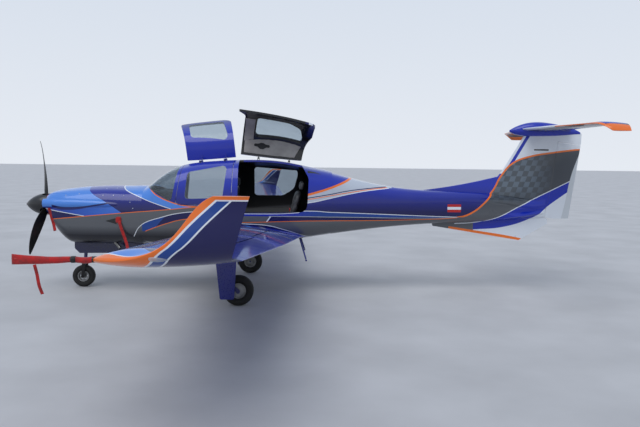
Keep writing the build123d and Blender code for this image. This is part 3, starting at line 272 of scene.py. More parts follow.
SLANT_HIGH = [
    (7.10, 1.10), (7.40, 1.118), (7.694, 1.181), (8.207, 1.422), (8.666, 1.643), (9.25, 1.925),
]
SLANT_LOW = [(7.40, 1.00), (7.914, 1.045), (8.390, 1.197), (8.745, 1.455), (9.25, 1.80)]
FIN_FRONT = [(1.60, 7.665), (1.80, 7.745), (2.02, 7.905), (2.50, 8.190), (2.70, 8.31)]
VENTRAL_FOOT = [(6.70, 1.058), (7.255, 0.976), (8.21, 0.825), (8.30, 0.80)]
# Edges of the painted shadow under the cowling's cheek blister
BLISTER_SHADOW_HIGH = [(0.56, 1.388), (0.793, 1.353), (1.025, 1.365), (1.289, 1.405), (1.569, 1.452)]
BLISTER_SHADOW_LOW = [
    (0.56, 1.350), (0.746, 1.308), (0.947, 1.317), (1.18, 1.36), (1.413, 1.40), (1.569, 1.448),
]
SCOOP_LINE = [(4.60, 1.948), (4.70, 1.938), (4.82, 1.907)]
RUDDER_STRIP = [(1.20, 8.93), (1.50, 8.995), (1.86, 9.06), (2.33, 9.215)]
LINE = 0.011
# Stations where the forward body's paint ends, and where the tail's starts
FORE_END = 3.55
TAIL_START = 7.12
# Ends of the fan behind the rear door, and of the slanted band on the tail
FAN_SPAN = (3.62, 6.0)
SLANT_START = 7.42
# The dark band's slanted start: its lean, and its station at the ground
BAND_LEAN, BAND_START = 0.71, 3.134
# Squares of the chequered field in a metre, and the field's lean
CHEQUERS, CHEQUER_LEAN = 11.0, -0.35


def draw_side(net, x, y, z):
    """The livery in side view, from the nose to the tail."""

    def line(points, width, swapped=False):
        across, up = (z, x) if swapped else (x, z)
        return net.ribbon(across, up, points, width)

    def below(points):
        return net.under(z, net.curve(x, points))

    def above(points):
        return net.over(z, net.curve(x, points))

    coat = Coat(net, net.mix(net.scale(z, 1.30, 1.75), NAVY, ROYAL))
    lay = coat.lay

    # Aft body: fan of stripes behind the rear door
    lay(PEARL, below(FAN_HIGH), above(FAN_WHITE), net.span(x, *FAN_SPAN))
    lay(ORANGE, line(FAN_HIGH, 0.034))
    lay(NAVY, line(FAN_NAVY, 0.014))
    lay(ORANGE, line(FAN_ORANGE, 0.012))
    lay(WHITE, line(FAN_WHITE, 0.012))

    # Air scoop on the roof's shoulder: its mouth is painted near black, as painted shade inside it
    depth = net.apart(z, net.curve(x, SCOOP_LINE))
    inside = net.under(depth, net.scale(x, 4.62, 4.82, 0.018, 0.001))
    lay((0.02, 0.025, 0.08), inside, net.span(x, 4.60, 4.82))

    # Lower body: sill band, dark band, keel
    below_band = below(BAND_LOW)
    foot = net.curve(x, FOOT_LINE)
    aft = net.over(x, FORE_END)
    low_zone = net.both(aft, net.under(x, TAIL_START))
    medium = net.mix(net.scale(x, 4.3, 4.8), ROYAL, MEDIUM)
    lay(medium, low_zone, below(BAND_TOP))
    slant = net.more(z, BAND_LEAN, BAND_START)
    lay(net.mix(net.over(x, slant), GREY, NAVY), low_zone, below_band)
    start = net.span(net.minus(x, slant), -0.012, 0.012)
    lay(WHITE, start, below_band, net.over(z, foot))
    lay(WHITE, line(BAND_TOP, LINE), aft)
    lay(SILVER, line(BAND_LOW, LINE), net.over(x, 3.99))
    lay(GREY, low_zone, net.under(z, foot))
    lay(ORANGE, line(FOOT_LINE, LINE))
    lay(NAVY, below(KEEL_LINE), net.span(x, 3.4, 4.72))
    lay(WHITE, line(KEEL_LINE, LINE))

    # Cowling and forward body
    fore = net.under(x, FORE_END)
    before_nose_line = net.under(x, net.curve(z, NOSE_LINE))
    lay(SKY, before_nose_line, fore)
    blister_shadow_low = net.curve(x, BLISTER_SHADOW_LOW)
    cheek = net.mix(net.scale(x, 0.6, 1.5), (0.10, 0.22, 0.62), (0.20, 0.42, 0.80))
    lay(cheek, before_nose_line, net.under(z, blister_shadow_low))
    # Painted shadow: a dark blue lens under the cheek blister's overhang
    lens = net.both(below(BLISTER_SHADOW_HIGH), net.over(z, blister_shadow_low))
    lay((0.03, 0.08, 0.38), lens, net.span(x, 0.56, 1.569))
    lay(NAVY, below(WEDGE_LINE), net.under(x, 1.09))
    lay(WHITE, line(WEDGE_LINE, LINE))
    lay(WHITE, line(NOSE_LINE, LINE, True))
    over_low = net.both(above(SWEEP_LOW), net.over(x, 1.62))
    under_high = net.either(below(SWEEP_HIGH), net.under(x, 2.06))
    lay(SKY, over_low, under_high, net.under(x, 2.88))
    lay(WHITE, line(SWEEP_LOW, LINE))
    lay(ORANGE, line(SWEEP_HIGH, 0.016))
    # Painted shade: the grey below the waist line darkens to near black towards the belly
    lower = net.mix(net.scale(z, 0.90, 1.06), DEEP, GREY)
    lay(lower, below(WAIST_LINE), fore)
    # Painted shade in the cowling's ramp ahead of the duct: a dark wedge that widens aft
    ramp = net.under(net.apart(z, 1.145), net.more(x, 0.27, -0.383))
    lay((0.10, 0.10, 0.11), ramp, net.span(x, 1.42, 1.60))
    between = net.both(below(SWOOSH_HIGH), above(SWOOSH_LOW))
    swoosh = net.both(between, net.over(x, 2.0), fore)
    lay(NAVY, swoosh)
    lay(MEDIUM, swoosh, net.under(net.more(z, -0.9, x), 1.262))
    # Painted shade: near black along the bottom of the forward body
    lay(DEEP, net.under(z, 0.915), fore)
    lay(WHITE, line(SWOOSH_HIGH, LINE), fore)
    lay(ORANGE, line(SWOOSH_LOW, LINE), fore)
    lay(ORANGE, line(WAIST_LINE, LINE))

    # Tail: chequered field, fin front band, slanted band and ventral fin
    behind = net.over(x, net.curve(z, TAIL_CURVE))
    aft_tail = net.over(x, TAIL_START)
    chequer = net.node("TexChecker", {"Scale": 1.0})
    lean = net.times(net.more(z, CHEQUER_LEAN, x), CHEQUERS)
    joined = net.node("CombineXYZ", {0: lean, 2: net.times(z, CHEQUERS)})
    net.put(chequer.inputs["Vector"], joined.outputs[0])
    squares = net.mix(chequer.outputs["Fac"], (0.28, 0.31, 0.34), (0.37, 0.42, 0.47))
    fade = net.both(net.scale(z, 1.45, 1.75), net.scale(x, 8.75, 8.35))
    field = net.mix(fade, net.mix(net.scale(z, 1.2, 1.5), GREY, DARK_GREY), squares)
    lay(field, behind, aft_tail)
    top = net.both(net.flip(behind), aft_tail, net.over(z, 1.62))
    front = net.minus(x, net.curve(z, FIN_FRONT))
    lay(WHITE, top, net.over(front, 0.10), net.over(z, 1.95))
    lay(WHITE, top, net.under(front, 0.042), net.over(z, 1.95))
    lay((0.12, 0.13, 0.14), net.span(x, 8.41, 8.66), net.under(net.apart(z, 2.356), 0.012))
    lay(ORANGE, line(TAIL_CURVE, 0.028, True))
    for tint, points in ((ROYAL, SLANT_HIGH), (WHITE, SLANT_LOW)):
        lay(tint, aft_tail, below(points), net.over(x, SLANT_START))
    lay(WHITE, line(SLANT_HIGH, 0.014))
    rear_edge = net.over(x, net.curve(z, RUDDER_STRIP))
    lay((0.80, 0.82, 0.84), rear_edge, aft_tail, net.under(z, 2.34))
    foot_edge = net.plus(net.curve(x, VENTRAL_FOOT), 0.04)
    lay(ORANGE, net.over(x, 7.0), net.under(z, foot_edge))
    stripe = net.mix(net.span(z, 1.349, 1.393), RED, WHITE)
    lay(stripe, net.span(x, 6.925, 7.155), net.span(z, 1.305, 1.437))
    return coat.colour


side_group = group("side_livery", draw_side)


def bsdf(net, **values):
    return net.node("BsdfPrincipled", {k.replace("_", " "): v for k, v in values.items()})


def finish(draw):
    """Turn a function that draws a surface into one that makes a named material of it."""

    def make(name, *values, **named):
        made = bpy.data.materials.new(name)
        made.use_nodes = True
        made.node_tree.nodes.clear()
        net = Net(made.node_tree)
        here = net.node("TexCoord").outputs["Object"]
        output = net.node("OutputMaterial")
        net.put(output.inputs["Surface"], draw(net, here, *values, **named).outputs[0])
        return made

    return make


def gloss_coat(net, here, colour, rough=0.32):
    """Lacquered paint: base colour under a clear coat, with a faint ripple."""
    ripple = net.bump(net.noise(here, 38.0, 2.0), 0.018, 0.02)
    dust = net.noise(here, 3.5, 5.0, 0.6)
    shade = net.mix(net.scale(dust, 0.45, 0.8, 0.0, 0.025), colour, (0.42, 0.42, 0.42))
    uneven = net.scale(dust, 0.3, 0.8, rough - 0.05, rough + 0.08)
    return bsdf(net, Base_Color=shade, Roughness=uneven, Specular_IOR_Level=0.25,
                Coat_Weight=0.75, Coat_Roughness=0.05, Normal=ripple)


@finish
def livery(net, here, tree, closed=None, trim=None):
    """Paint from a livery group. closed turns an open door's points back to its shut place."""
    shut, facing = here, here.node.outputs["Normal"]
    if closed:
        centre, axis, angle = closed
        values = {"Vector": here, "Center": centre, "Axis": axis, "Angle": angle}
        shut = net.node("VectorRotate", values).outputs[0]
        values = {"Vector": facing, "Axis": axis, "Angle": angle}
        facing = net.node("VectorRotate", values).outputs[0]
    paint = net.node("Group", node_tree=tree)
    net.put(paint.inputs[0], shut)
    colour = paint.outputs[0]
    if trim:
        split = net.axes(shut)
        height = net.minus(split[2], 1.38)
        outward = net.node("CombineXYZ", {1: split[1], 2: height})
        unit = net.node("VectorMath", {0: outward.outputs[0]}, operation="NORMALIZE")
        dot = net.node("VectorMath", {0: unit.outputs[0], 1: facing}, operation="DOT_PRODUCT")
        facing_out = dot.outputs["Value"]
        jamb = net.either(net.over(split[2], 1.97), net.over(split[0], 4.42 - NOSE_X))
        jamb = net.both(jamb, net.over(split[0], 3.56 - NOSE_X),
                        net.flip(net.under(facing_out, -0.1)))
        colour = net.mix(net.both(net.under(facing_out, 0.35), net.flip(jamb)), colour, JAMB_BLACK)
        colour = net.mix(net.under(facing_out, -0.35), colour, trim)
    return gloss_coat(net, here, colour)


JAMB_BLACK = (0.035, 0.035, 0.04)
DOOR_BLACK = (0.045, 0.045, 0.05)
CABIN_BLACK = (0.07, 0.07, 0.075)
body_paint = livery("body_paint", side_group, trim=CABIN_BLACK)
tail_paint = livery("tail_paint", side_group)


def door_hinge(name):
    """A door's hinge: a point on it, its axis, and the angle from here to shut."""
    joint = next(j for j in frame["joints"] if j["name"] == f"door_hinge_{name}")
    return Vector(joint["pos_m"]), Vector(joint["axis"]), radians(joint["range_deg"][0])


def door_paint(name):
    """The livery on a door, turned back about its hinge line to where it shuts."""
    centre, axis, shut = door_hinge(name)
    closed = (tuple(centre), tuple(axis), shut) if shut else None
    return livery(f"door_paint_{name}", side_group, closed, DOOR_BLACK)


def set_material(node, made):
    nodes[node].data.materials.clear()
    nodes[node].data.materials.append(made)


for node in ("fuselage", "cowling_upper", "cowling_lower"):
    set_material(node, body_paint)
for node in ("tail_boom", "fin", "rudder", "ventral_fin"):
    set_material(node, tail_paint)
for door in ("front_port", "front_starboard", "rear_port"):
    set_material(f"door_{door}", door_paint(door))


def chord_share(net, x, y, rows):
    """How far aft a point is of a wing's leading edge, and that as a share of the chord."""
    span = net.size(y)
    lead = net.curve(span, [(row[0], row[1]) for row in rows])
    trail = net.curve(span, [(row[0], row[2]) for row in rows])
    aft = net.minus(x, lead)
    return span, aft, net.math("DIVIDE", aft, net.minus(trail, lead))


WING_ROWS = [(0.48, 2.740, 4.560), (0.75, 2.805, 4.492), (3.6, 2.890, 4.275), (6.4, 2.990, 4.000)]
WINGLET_FRONT = [
    (1.38, 3.270), (1.44, 3.365), (1.485, 3.405), (1.53, 3.455), (1.56, 3.495), (1.72, 3.652),
    (1.895, 3.840),
]
# Span stations where the tip's and the winglet's paint start, and the winglet's height
TIP_START = 4.6
WINGLET_START = 6.42
WINGLET_TOP = 1.895


def draw_wing(net, x, y, z):
    """The wing's paint: orange leading edge and pale streaks outboard, dark blue inboard."""
    span, aft, share = chord_share(net, x, y, WING_ROWS)
    coat = Coat(net, net.mix(net.scale(share, 0.1, 0.9), NAVY, ROYAL))
    lay = coat.lay
    streak = net.more(span, -0.42, share)
    for low, high, tint in ((-0.12, -0.04, SKY), (0.04, 0.09, SILVER), (0.2, 0.24, SKY),
                            (0.34, 0.37, SILVER)):
        lay(tint, net.span(streak, low, high), net.under(span, 2.2), net.over(share, 0.25))
    top_side = net.over(z, net.curve(span, [(0.48, 0.918), (3.6, 1.186), (6.4, 1.430)]))
    tip = net.over(span, TIP_START)
    belly = net.both(net.flip(top_side), tip)
    reach = net.times(net.scale(span, TIP_START, 5.4), 0.22)
    lay(SKY, tip, top_side, net.under(aft, reach))
    lay(WHITE, tip, net.under(aft, 0.064))
    lay(ORANGE, net.under(aft, 0.048))
    deep = net.scale(span, 5.4, 6.4, 0.045, 0.30)
    lay(WHITE, belly, net.under(aft, net.plus(deep, 0.015)))
    lay(ORANGE, belly, net.under(aft, deep))

    # Winglet: bands that follow its leading edge, which sweeps back as the tip turns up
    rise = net.scale(z, 1.50, 1.60)
    foot = net.flip(rise)
    crest = net.over(z, net.curve(span, [(6.40, 1.435), (6.59, 1.470), (6.668, 1.560)]))
    on_top = net.both(foot, crest, net.under(span, 6.655))
    lead = net.curve(span, [(6.40, 3.010), (6.59, 3.270), (6.668, 3.515)])
    from_lead = net.times(net.minus(x, lead), on_top)
    upright = net.math("DIVIDE", net.minus(x, net.curve(z, WINGLET_FRONT)), 1.4)
    front = net.more(upright, net.flip(on_top), from_lead)
    top = net.minus(WINGLET_TOP, z)
    winglet = net.over(span, WINGLET_START)
    lay(NAVY, winglet)
    lay(WHITE, winglet, net.under(front, 0.110))
    lay(MEDIUM, winglet, net.under(front, 0.099))
    lay(SKY, winglet, net.over(on_top, 0.4), net.under(front, 0.19))
    lay(WHITE, winglet, net.under(front, 0.042))
    lay(WHITE, winglet, net.under(top, 0.033))
    rim = net.either(net.under(front, 0.028), net.under(top, 0.024))
    lay(ORANGE, winglet, rim)
    return coat.colour


wing_group = group("wing_livery", draw_wing)
wing_paint = livery("wing_paint", wing_group)
for stem in ("wing", "winglet", "flap", "aileron"):
    for side in ("port", "starboard"):
        set_material(f"{stem}_{side}", wing_paint)

TAIL_ROWS = [(0.0, 8.170, 9.020), (1.83, 8.510, 9.000), (1.985, 8.60, 9.0), (2.065, 8.735, 8.998)]


def draw_tailplane(net, x, y, z):
    """The tailplane's paint: white leading edge that turns orange outboard, blue tips."""
    span, aft, share = chord_share(net, x, y, TAIL_ROWS)
    coat = Coat(net, net.mix(net.over(span, 1.72), WHITE, ROYAL))
    lay = coat.lay
    # Painted shade: the underside aft of the leading edge is dark grey-blue
    lay((0.16, 0.18, 0.25), net.under(z, 2.695), net.over(share, 0.10))
    lead = net.mix(net.over(span, 1.0), WHITE, ORANGE)
    lay(lead, net.under(aft, 0.05))
    lay(ORANGE, net.over(span, 2.0))
    return coat.colour


tailplane_group = group("tailplane_livery", draw_tailplane)
tailplane_paint = livery("tailplane_paint", tailplane_group)
for node in ("horizontal_stabilizer", "elevator"):
    set_material(node, tailplane_paint)


def grained(net, tone, fine, rough, metal, coat, bump):
    """A surface whose roughness and height follow a fine grain."""
    uneven = net.scale(fine, 0.3, 0.7, rough - 0.06, rough + 0.08)
    return bsdf(net, Base_Color=tone, Roughness=uneven, Metallic=metal, Coat_Weight=coat,
                Normal=net.bump(fine, bump, 0.002))


@finish
def plain(net, here, colour, rough, metal=0.0, coat=0.0, grain=60.0, bump=0.1, spread=0.25):
    """A solid colour with uneven tone, roughness and a fine grain."""
    blotch = net.noise(here, 6.0, 4.0, 0.6)
    fine = net.noise(here, grain, 3.0, 0.6)
    dark = tuple(c * (1 - spread) for c in colour)
    tone = net.mix(net.scale(blotch, 0.35, 0.65), dark, colour)
    return grained(net, tone, fine, rough, metal, coat, bump)


@finish
def glass(net, here, tint, skin_tint, haze):
    """A clear pane: what is behind shows through a tint under a hazy, mirroring skin."""
    smear = net.scale(net.noise(here, 2.6, 4.0, 0.6), 0.3, 0.75, haze * 0.7, haze * 1.4)
    clear = net.node("BsdfTransparent", {0: tint})
    sheen = bsdf(net, Base_Color=skin_tint, Roughness=net.scale(smear, 0.0, 0.5, 0.03, 0.09),
                 Coat_Weight=1.0)
    facing = net.node("LayerWeight", {"Blend": 0.5}).outputs["Facing"]
    edge = net.times(net.math("POWER", facing, 4.5), 0.8)
    amount = net.math("MINIMUM", net.plus(edge, smear), 1.0)
    return net.node("MixShader", {0: amount, 1: clear.outputs[0], 2: sheen.outputs[0]})


pane = glass("pane", (0.86, 0.89, 0.91), (0.66, 0.69, 0.72), 0.12)
for node in ("windscreen", "rear_side_window", "door_window_front_port",
             "door_window_front_starboard", "door_window_rear_port"):
    set_material(node, pane)


def draw_bullet(net, x, y, z):
    """The tail fairing's paint: plain blue."""
    return net.mix(0.0, ROYAL, ROYAL)


bullet_paint = livery("bullet_paint", group("bullet_livery", draw_bullet))
set_material("tail_fairing", bullet_paint)


@finish
def banded(net, here, colour, other, low, high, rough, metal=0.0, coat=0.0):
    """A colour that changes to another between two stations, with a fine grain."""
    station = net.plus(net.axes(here)[0], NOSE_X)
    fine = net.noise(here, 90.0, 3.0, 0.6)
    shade = net.mix(net.scale(net.noise(here, 7.0, 4.0), 0.35, 0.65),
                    tuple(c * 0.85 for c in colour), colour)
    tone = net.mix(net.span(station, low, high), shade, other)
    return grained(net, tone, fine, rough, metal, coat, 0.1)


@finish
def tyre(net, here, middle, radius):
    """Rubber with grooves round its tread, a dusty sidewall and moulded rings."""
    split = net.axes(here)
    across = net.apart(net.size(split[1]), middle[1])
    ahead = net.minus(split[0], middle[0] - NOSE_X)
    rise = net.minus(split[2], middle[2])
    squares = net.plus(net.times(ahead, ahead), net.times(rise, rise))
    away = net.math("SQRT", squares)
    tread = net.over(away, radius * 0.93)
    groove = net.both(tread, net.either(net.span(across, 0.008, 0.013),
                                        net.span(across, 0.030, 0.035)))
    rings = net.both(net.flip(tread), net.over(net.wave(net.times(away, 700.0)), 0.75))
    dust = net.noise(here, 9.0, 5.0, 0.65)
    fine = net.noise(here, 160.0, 3.0, 0.6)
    tone = net.mix(net.scale(dust, 0.4, 0.75), (0.07, 0.07, 0.07), (0.17, 0.165, 0.16))
    tone = net.mix(groove, tone, (0.02, 0.02, 0.02))
    height = net.minus(net.times(fine, 0.25), groove)
    height = net.plus(height, net.times(rings, 0.3))
    surface = net.bump(height, 0.6, 0.003)
    return bsdf(net, Base_Color=tone, Roughness=net.scale(dust, 0.3, 0.7, 0.72, 0.9),
                Normal=surface)


@finish
def panel_face(net, here):
    """A black panel whose three displays are dark glass with faint scales and a horizon."""
    split = net.axes(here)
    up = net.minus(split[2], 1.440)
    side = net.minus(net.math("PINGPONG", net.plus(split[1], 0.45), 0.3), 0.15)
    side = net.size(side)
    # Displays lie at -0.3, 0 and 0.3 across: half the fold of the side coordinate
    fine = net.noise(here, 300.0, 3.0, 0.6)
    aft = net.over(split[0], 2.455 - NOSE_X)
    screen = net.both(aft, net.under(side, 0.119), net.under(net.size(up), 0.083))
    marks = net.both(net.over(net.wave(net.times(up, 420.0)), 0.9), net.span(side, 0.085, 0.098))
    sky = net.mix(net.over(up, 0.004), (0.10, 0.07, 0.045), (0.03, 0.075, 0.16))
    sky = net.mix(net.span(up, 0.002, 0.005), sky, (0.50, 0.52, 0.55))
    sky = net.mix(net.over(side, 0.080), sky, (0.015, 0.017, 0.02))
    sky = net.mix(marks, sky, (0.45, 0.47, 0.50))
    tone = net.mix(net.scale(fine, 0.3, 0.7), (0.045, 0.045, 0.05), (0.075, 0.075, 0.08))
    tone = net.mix(screen, tone, sky)
    surface = net.bump(net.both(fine, net.flip(screen)), 0.3, 0.001)
    return bsdf(net, Base_Color=tone, Roughness=net.more(screen, -0.5, 0.6), Normal=surface)


finishes = {
    "spinner": banded("spinner_satin", (0.17, 0.17, 0.18), (0.70, 0.05, 0.04), 0.374, 0.386, 0.34,
                      metal=0.4, coat=0.3),
    "propeller": plain("blade_black", (0.05, 0.05, 0.055), 0.42, coat=0.15),
    "engine_block": plain("engine_cast", (0.33, 0.33, 0.34), 0.5, metal=0.7, grain=25),
    "door_hinge_lugs": plain("hinge_black", (0.05, 0.05, 0.05), 0.45),
    "nose_gear_leg": plain("leg_paint", (0.10, 0.12, 0.40), 0.35, coat=0.5),
    "nose_fork": plain("fork_black", (0.08, 0.08, 0.09), 0.4, metal=0.3),
    "nose_wheel_rim": plain("rim_alloy", (0.62, 0.62, 0.62), 0.35, metal=0.8),
    "nose_wheel_tyre": tyre("nose_tyre", (0.915, 0.0, 0.1805), 0.1805),
    "cabin_floor": plain("carpet", (0.09, 0.09, 0.10), 0.95, grain=400, bump=0.6),
    "instrument_panel": panel_face("panel_black"),
    "centre_console": plain("console_black", (0.06, 0.06, 0.065), 0.55, grain=300, bump=0.3),
    "front_seat_port": plain("seat_leather", (0.10, 0.10, 0.11), 0.5, grain=220, bump=0.35),
    "boarding_steps": plain("step_blue", (0.10, 0.15, 0.52), 0.35, coat=0.5),
    "exhaust_pipe": plain("pipe_steel", (0.62, 0.61, 0.60), 0.22, metal=1.0),
    "air_data_boom": banded("probe_red", (0.70, 0.07, 0.06), (0.05, 0.05, 0.055), 2.981, 3.20,
                            0.45),
    "boom_cover": plain("cover_cloth", (0.72, 0.06, 0.06), 0.8, grain=300, bump=0.5),
    "tie_down_rings": plain("ring_steel", (0.5, 0.5, 0.5), 0.35, metal=0.9),
}
gear_blue = plain("gear_blue", (0.02, 0.09, 0.50), 0.3, coat=0.7, spread=0.08)
for node, made in finishes.items():
    set_material(node, made)
main_tyre = tyre("main_tyre", (3.580, 1.395, 0.2225), 0.2225)
for side in ("port", "starboard"):
    set_material(f"main_wheel_tyre_{side}", main_tyre)
    set_material(f"main_wheel_rim_{side}", finishes["nose_wheel_rim"])
    set_material(f"main_gear_leg_{side}", finishes["nose_gear_leg"])
set_material("front_seat_starboard", finishes["front_seat_port"])
set_material("rear_bench", finishes["front_seat_port"])
set_material("control_sticks", finishes["propeller"])
set_material("main_leg_doors", gear_blue)
set_material("nose_gear_doors", plain("gear_navy", (0.01, 0.02, 0.26), 0.3, coat=0.7, spread=0.08))


# Pieces beyond the frame's own solids


def at(station, y, z):
    return Vector((station - NOSE_X, y, z))


def place(name, mesh, *surfaces, body="airframe"):
    """Link a mesh as a piece that rides on a body."""
    mesh.name = name
    made = bpy.data.objects.new(name, mesh)
    for surface in surfaces:
        mesh.materials.append(surface)
    bpy.context.scene.collection.objects.link(made)
    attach(made, body)
    return made


def to_mesh(made):
    bmesh.ops.recalc_face_normals(made, faces=made.faces)
    mesh = bpy.data.meshes.new("piece")
    made.to_mesh(mesh)
    made.free()
    for face in mesh.polygons:
        face.use_smooth = True
    return mesh


def skin(rings, closed=True, caps=True):
    """A mesh over rings of as many points each. closed joins each ring's ends."""
    made = bmesh.new()
    rows = [[made.verts.new(p) for p in ring] for ring in rings]
    count = len(rings[0])
    for low, high in zip(rows, rows[1:]):
        for i in range(count if closed else count - 1):
            j = (i + 1) % count
            made.faces.new((low[i], low[j], high[j], high[i]))
    if caps:
        made.faces.new(rows[0][::-1])
        made.faces.new(rows[-1])
    return to_mesh(made)


def tube(points, radii, sides=16, flat=1.0, caps=True):
    """A round or flattened tube along points, with a radius for each."""
    rings = []
    for i, (point, radius) in enumerate(zip(points, radii)):
        ahead = (points[min(i + 1, len(points) - 1)] - points[max(i - 1, 0)]).normalized()
        up = Vector((0, 0, 1)) if abs(ahead.z) < 0.9 else Vector((1, 0, 0))
        side = ahead.cross(up).normalized()
        rise = side.cross(ahead)
        turns = [tau * k / sides for k in range(sides)]
        rings.append([point + side * cos(a) * radius * flat + rise * sin(a) * radius
                      for a in turns])
    return skin(rings, caps=caps)


def strip(top, bottom, width, across, sway, rows=24, columns=4):
    """A hanging strip of webbing, as a grid that sways and cups a little, and its length."""
    centres = []
    for i in range(rows + 1):
        t = i / rows
        centres.append(top.lerp(bottom, t) + sway * (sin(2.4 * pi * t) * t))
    cup = across.cross(bottom - top).normalized() * width
    rings = []
    for i, centre in enumerate(centres):
        shares = [j / columns - 0.5 for j in range(columns + 1)]
        bow = 0.25 * sin(4.0 * i / rows)
        rings.append([centre + across * width * share + cup * bow * (0.25 - share * share)
                      for share in shares])
    length = sum((b - a).length for a, b in zip(centres, centres[1:]))
    return skin(rings, closed=False, caps=False), length


def pillow(half, warp, power=5.0, cuts=15):
    """A rounded block, bent into place by warp."""
    made = bmesh.new()
    bmesh.ops.create_cube(made, size=2.0)
    bmesh.ops.subdivide_edges(made, edges=made.edges, cuts=cuts, use_grid_fill=True)
    for vertex in made.verts:
        size = sum(abs(c) ** power for c in vertex.co) ** (1 / power)
        vertex.co = warp(*(c / size * h for c, h in zip(vertex.co, half)))
    return to_mesh(made)


# Cloth pressure and its steps, and half the width and the depth of a sewn groove
PRESSURE = 4.0
STEPS = 20
SEAM_HALF = 0.008
SEAM_DEPTH = 0.006


def inflate(mesh, voxel, cap, seams):
    """Pump a closed form up under its cover, held at its sewn planes, then groove the seams."""
    work = bpy.data.objects.new("work", mesh)
    bpy.context.scene.collection.objects.link(work)
    remesh = work.modifiers.new("remesh", "REMESH")
    remesh.mode = "VOXEL"
    remesh.voxel_size = voxel
    graph = bpy.context.evaluated_depsgraph_get()
    even = bpy.data.meshes.new_from_object(work.evaluated_get(graph))
    work.modifiers.remove(remesh)
    work.data = even
    sewn = work.vertex_groups.new(name="sewn")
    held = [v.index for v in even.vertices
            if any(abs(n.dot(v.co) - d) < voxel * 0.6 for n, d in seams)]
    sewn.add(held, 1.0, "REPLACE")
    cloth = work.modifiers.new("cloth", "CLOTH")
    cloth.settings.use_pressure = True
    cloth.settings.uniform_pressure_force = PRESSURE
    cloth.settings.effector_weights.gravity = 0.0
    cloth.settings.vertex_group_mass = "sewn"
    scene = bpy.context.scene
    for step in range(1, STEPS + 1):
        scene.frame_set(step)
    graph = bpy.context.evaluated_depsgraph_get()
    solved = work.evaluated_get(graph).data
    moved = [v.co.copy() for v in solved.vertices]
    work.modifiers.remove(cloth)
    for vertex, end in zip(even.vertices, moved):
        run = end - vertex.co
        vertex.co += run * min(1.0, cap / max(run.length, 1e-6))
    scene.frame_set(1)
    made = bmesh.new()
    made.from_mesh(even)
    for normal, offset in seams:
        for shift in (-SEAM_HALF, 0.0, SEAM_HALF):
            everything = made.verts[:] + made.edges[:] + made.faces[:]
            bmesh.ops.bisect_plane(made, geom=everything, dist=1e-5,
                                   plane_co=normal * (offset + shift), plane_no=normal)
    made.normal_update()
    for vertex in made.verts:
        if any(abs(n.dot(vertex.co) - d) < 0.001 for n, d in seams):
            vertex.co -= vertex.normal * SEAM_DEPTH
    bpy.data.objects.remove(work)
    return to_mesh(made)


def smooth(made):
    step = made.modifiers.new("smooth", "SUBSURF")
    step.levels = step.render_levels = 1
    return made


def pad(name, mesh, seams, surface, voxel=0.012, cap=0.012):
    made = smooth(place(name, inflate(mesh, voxel, cap, seams), surface))
    return made


def twin(source, name, shift):
    """A second copy of a piece, beside the first."""
    mesh = source.data.copy()
    mesh.transform(Matrix.Translation(shift))
    return place(name, mesh)


@finish
def leather(net, here, colour, seam_step, seam_start):
    """Black hide with a pebbled grain, dull creases and pale thread beside its seams."""
    cells = net.node("TexVoronoi", {"Vector": here, "Scale": 420.0}).outputs["Distance"]
    wrinkle = net.noise(here, 14.0, 6.0, 0.65)
    split = net.axes(here)
    across = net.math("PINGPONG", net.minus(split[1], seam_start), seam_step / 2)
    run = net.math("FRACT", net.times(net.plus(split[0], split[2]), 90.0))
    thread = net.both(net.span(across, 0.009, 0.0115), net.over(run, 0.35))
    worn = tuple(min(c * 1.9 + 0.02, 1.0) for c in colour)
    tone = net.mix(net.scale(wrinkle, 0.45, 0.75), colour, worn)
    tone = net.mix(thread, tone, (0.36, 0.36, 0.38))
    height = net.plus(cells, net.times(wrinkle, 2.0))
    surface = net.bump(height, 0.35, 0.0015)
    return bsdf(net, Base_Color=tone, Roughness=net.scale(wrinkle, 0.3, 0.7, 0.42, 0.60),
                Normal=surface)


@finish
def cloth(net, here, colour, threads=700.0):
    """A woven cloth: crossed threads, faded patches and dirt."""
    split = net.axes(here)
    along = net.plus(split[0], split[1])
    warp = net.wave(net.times(along, threads * tau / 4))
    weft = net.wave(net.times(split[2], threads * tau / 4))
    weave = net.times(warp, weft)
    patch = net.noise(here, 22.0, 5.0, 0.65)
    fold = net.noise(here, 9.0, 3.0)
    deep = tuple(c * 0.62 for c in colour)
    tone = net.mix(net.scale(patch, 0.3, 0.7), deep, colour)
    height = net.plus(net.times(weave, 0.12), net.times(fold, 1.6))
    surface = net.bump(height, 0.5, 0.004)
    return bsdf(net, Base_Color=tone, Roughness=net.scale(patch, 0.3, 0.7, 0.68, 0.86),
                Sheen_Weight=0.3, Normal=surface)


hide = leather("hide", (0.17, 0.17, 0.18), 0.25, 0.160)
bench_hide = leather("bench_hide", (0.17, 0.17, 0.18), 0.30, 0.0)
red_cloth = cloth("red_cloth", (0.76, 0.07, 0.07))
belt_web = cloth("belt_web", (0.10, 0.10, 0.11), 1100.0)
moulded = plain("moulded_black", (0.06, 0.06, 0.065), 0.6, grain=350, bump=0.3)
steel = plain("bright_steel", (0.70, 0.70, 0.71), 0.22, metal=1.0, grain=200)
buckle_red = plain("buckle_red", (0.75, 0.05, 0.05), 0.4, grain=200)

# Front seats: cushion with raised sides, waisted back, headrest on two posts, moulded base
SEAT_Y = 0.285
AFT = Vector((1, 0, 0))
STARBOARD = Vector((0, 1, 0))
UP = Vector((0, 0, 1))
SIDE_SEAMS = [(STARBOARD, -SEAT_Y - 0.125), (STARBOARD, -SEAT_Y + 0.125)]


def cushion_warp(x, y, z):
    raised = 0.018 * (abs(y) / 0.2) ** 3 if z > 0 else 0.0
    return at(3.045 + x, y - SEAT_Y, 1.088 - 0.078 * x + z + raised)


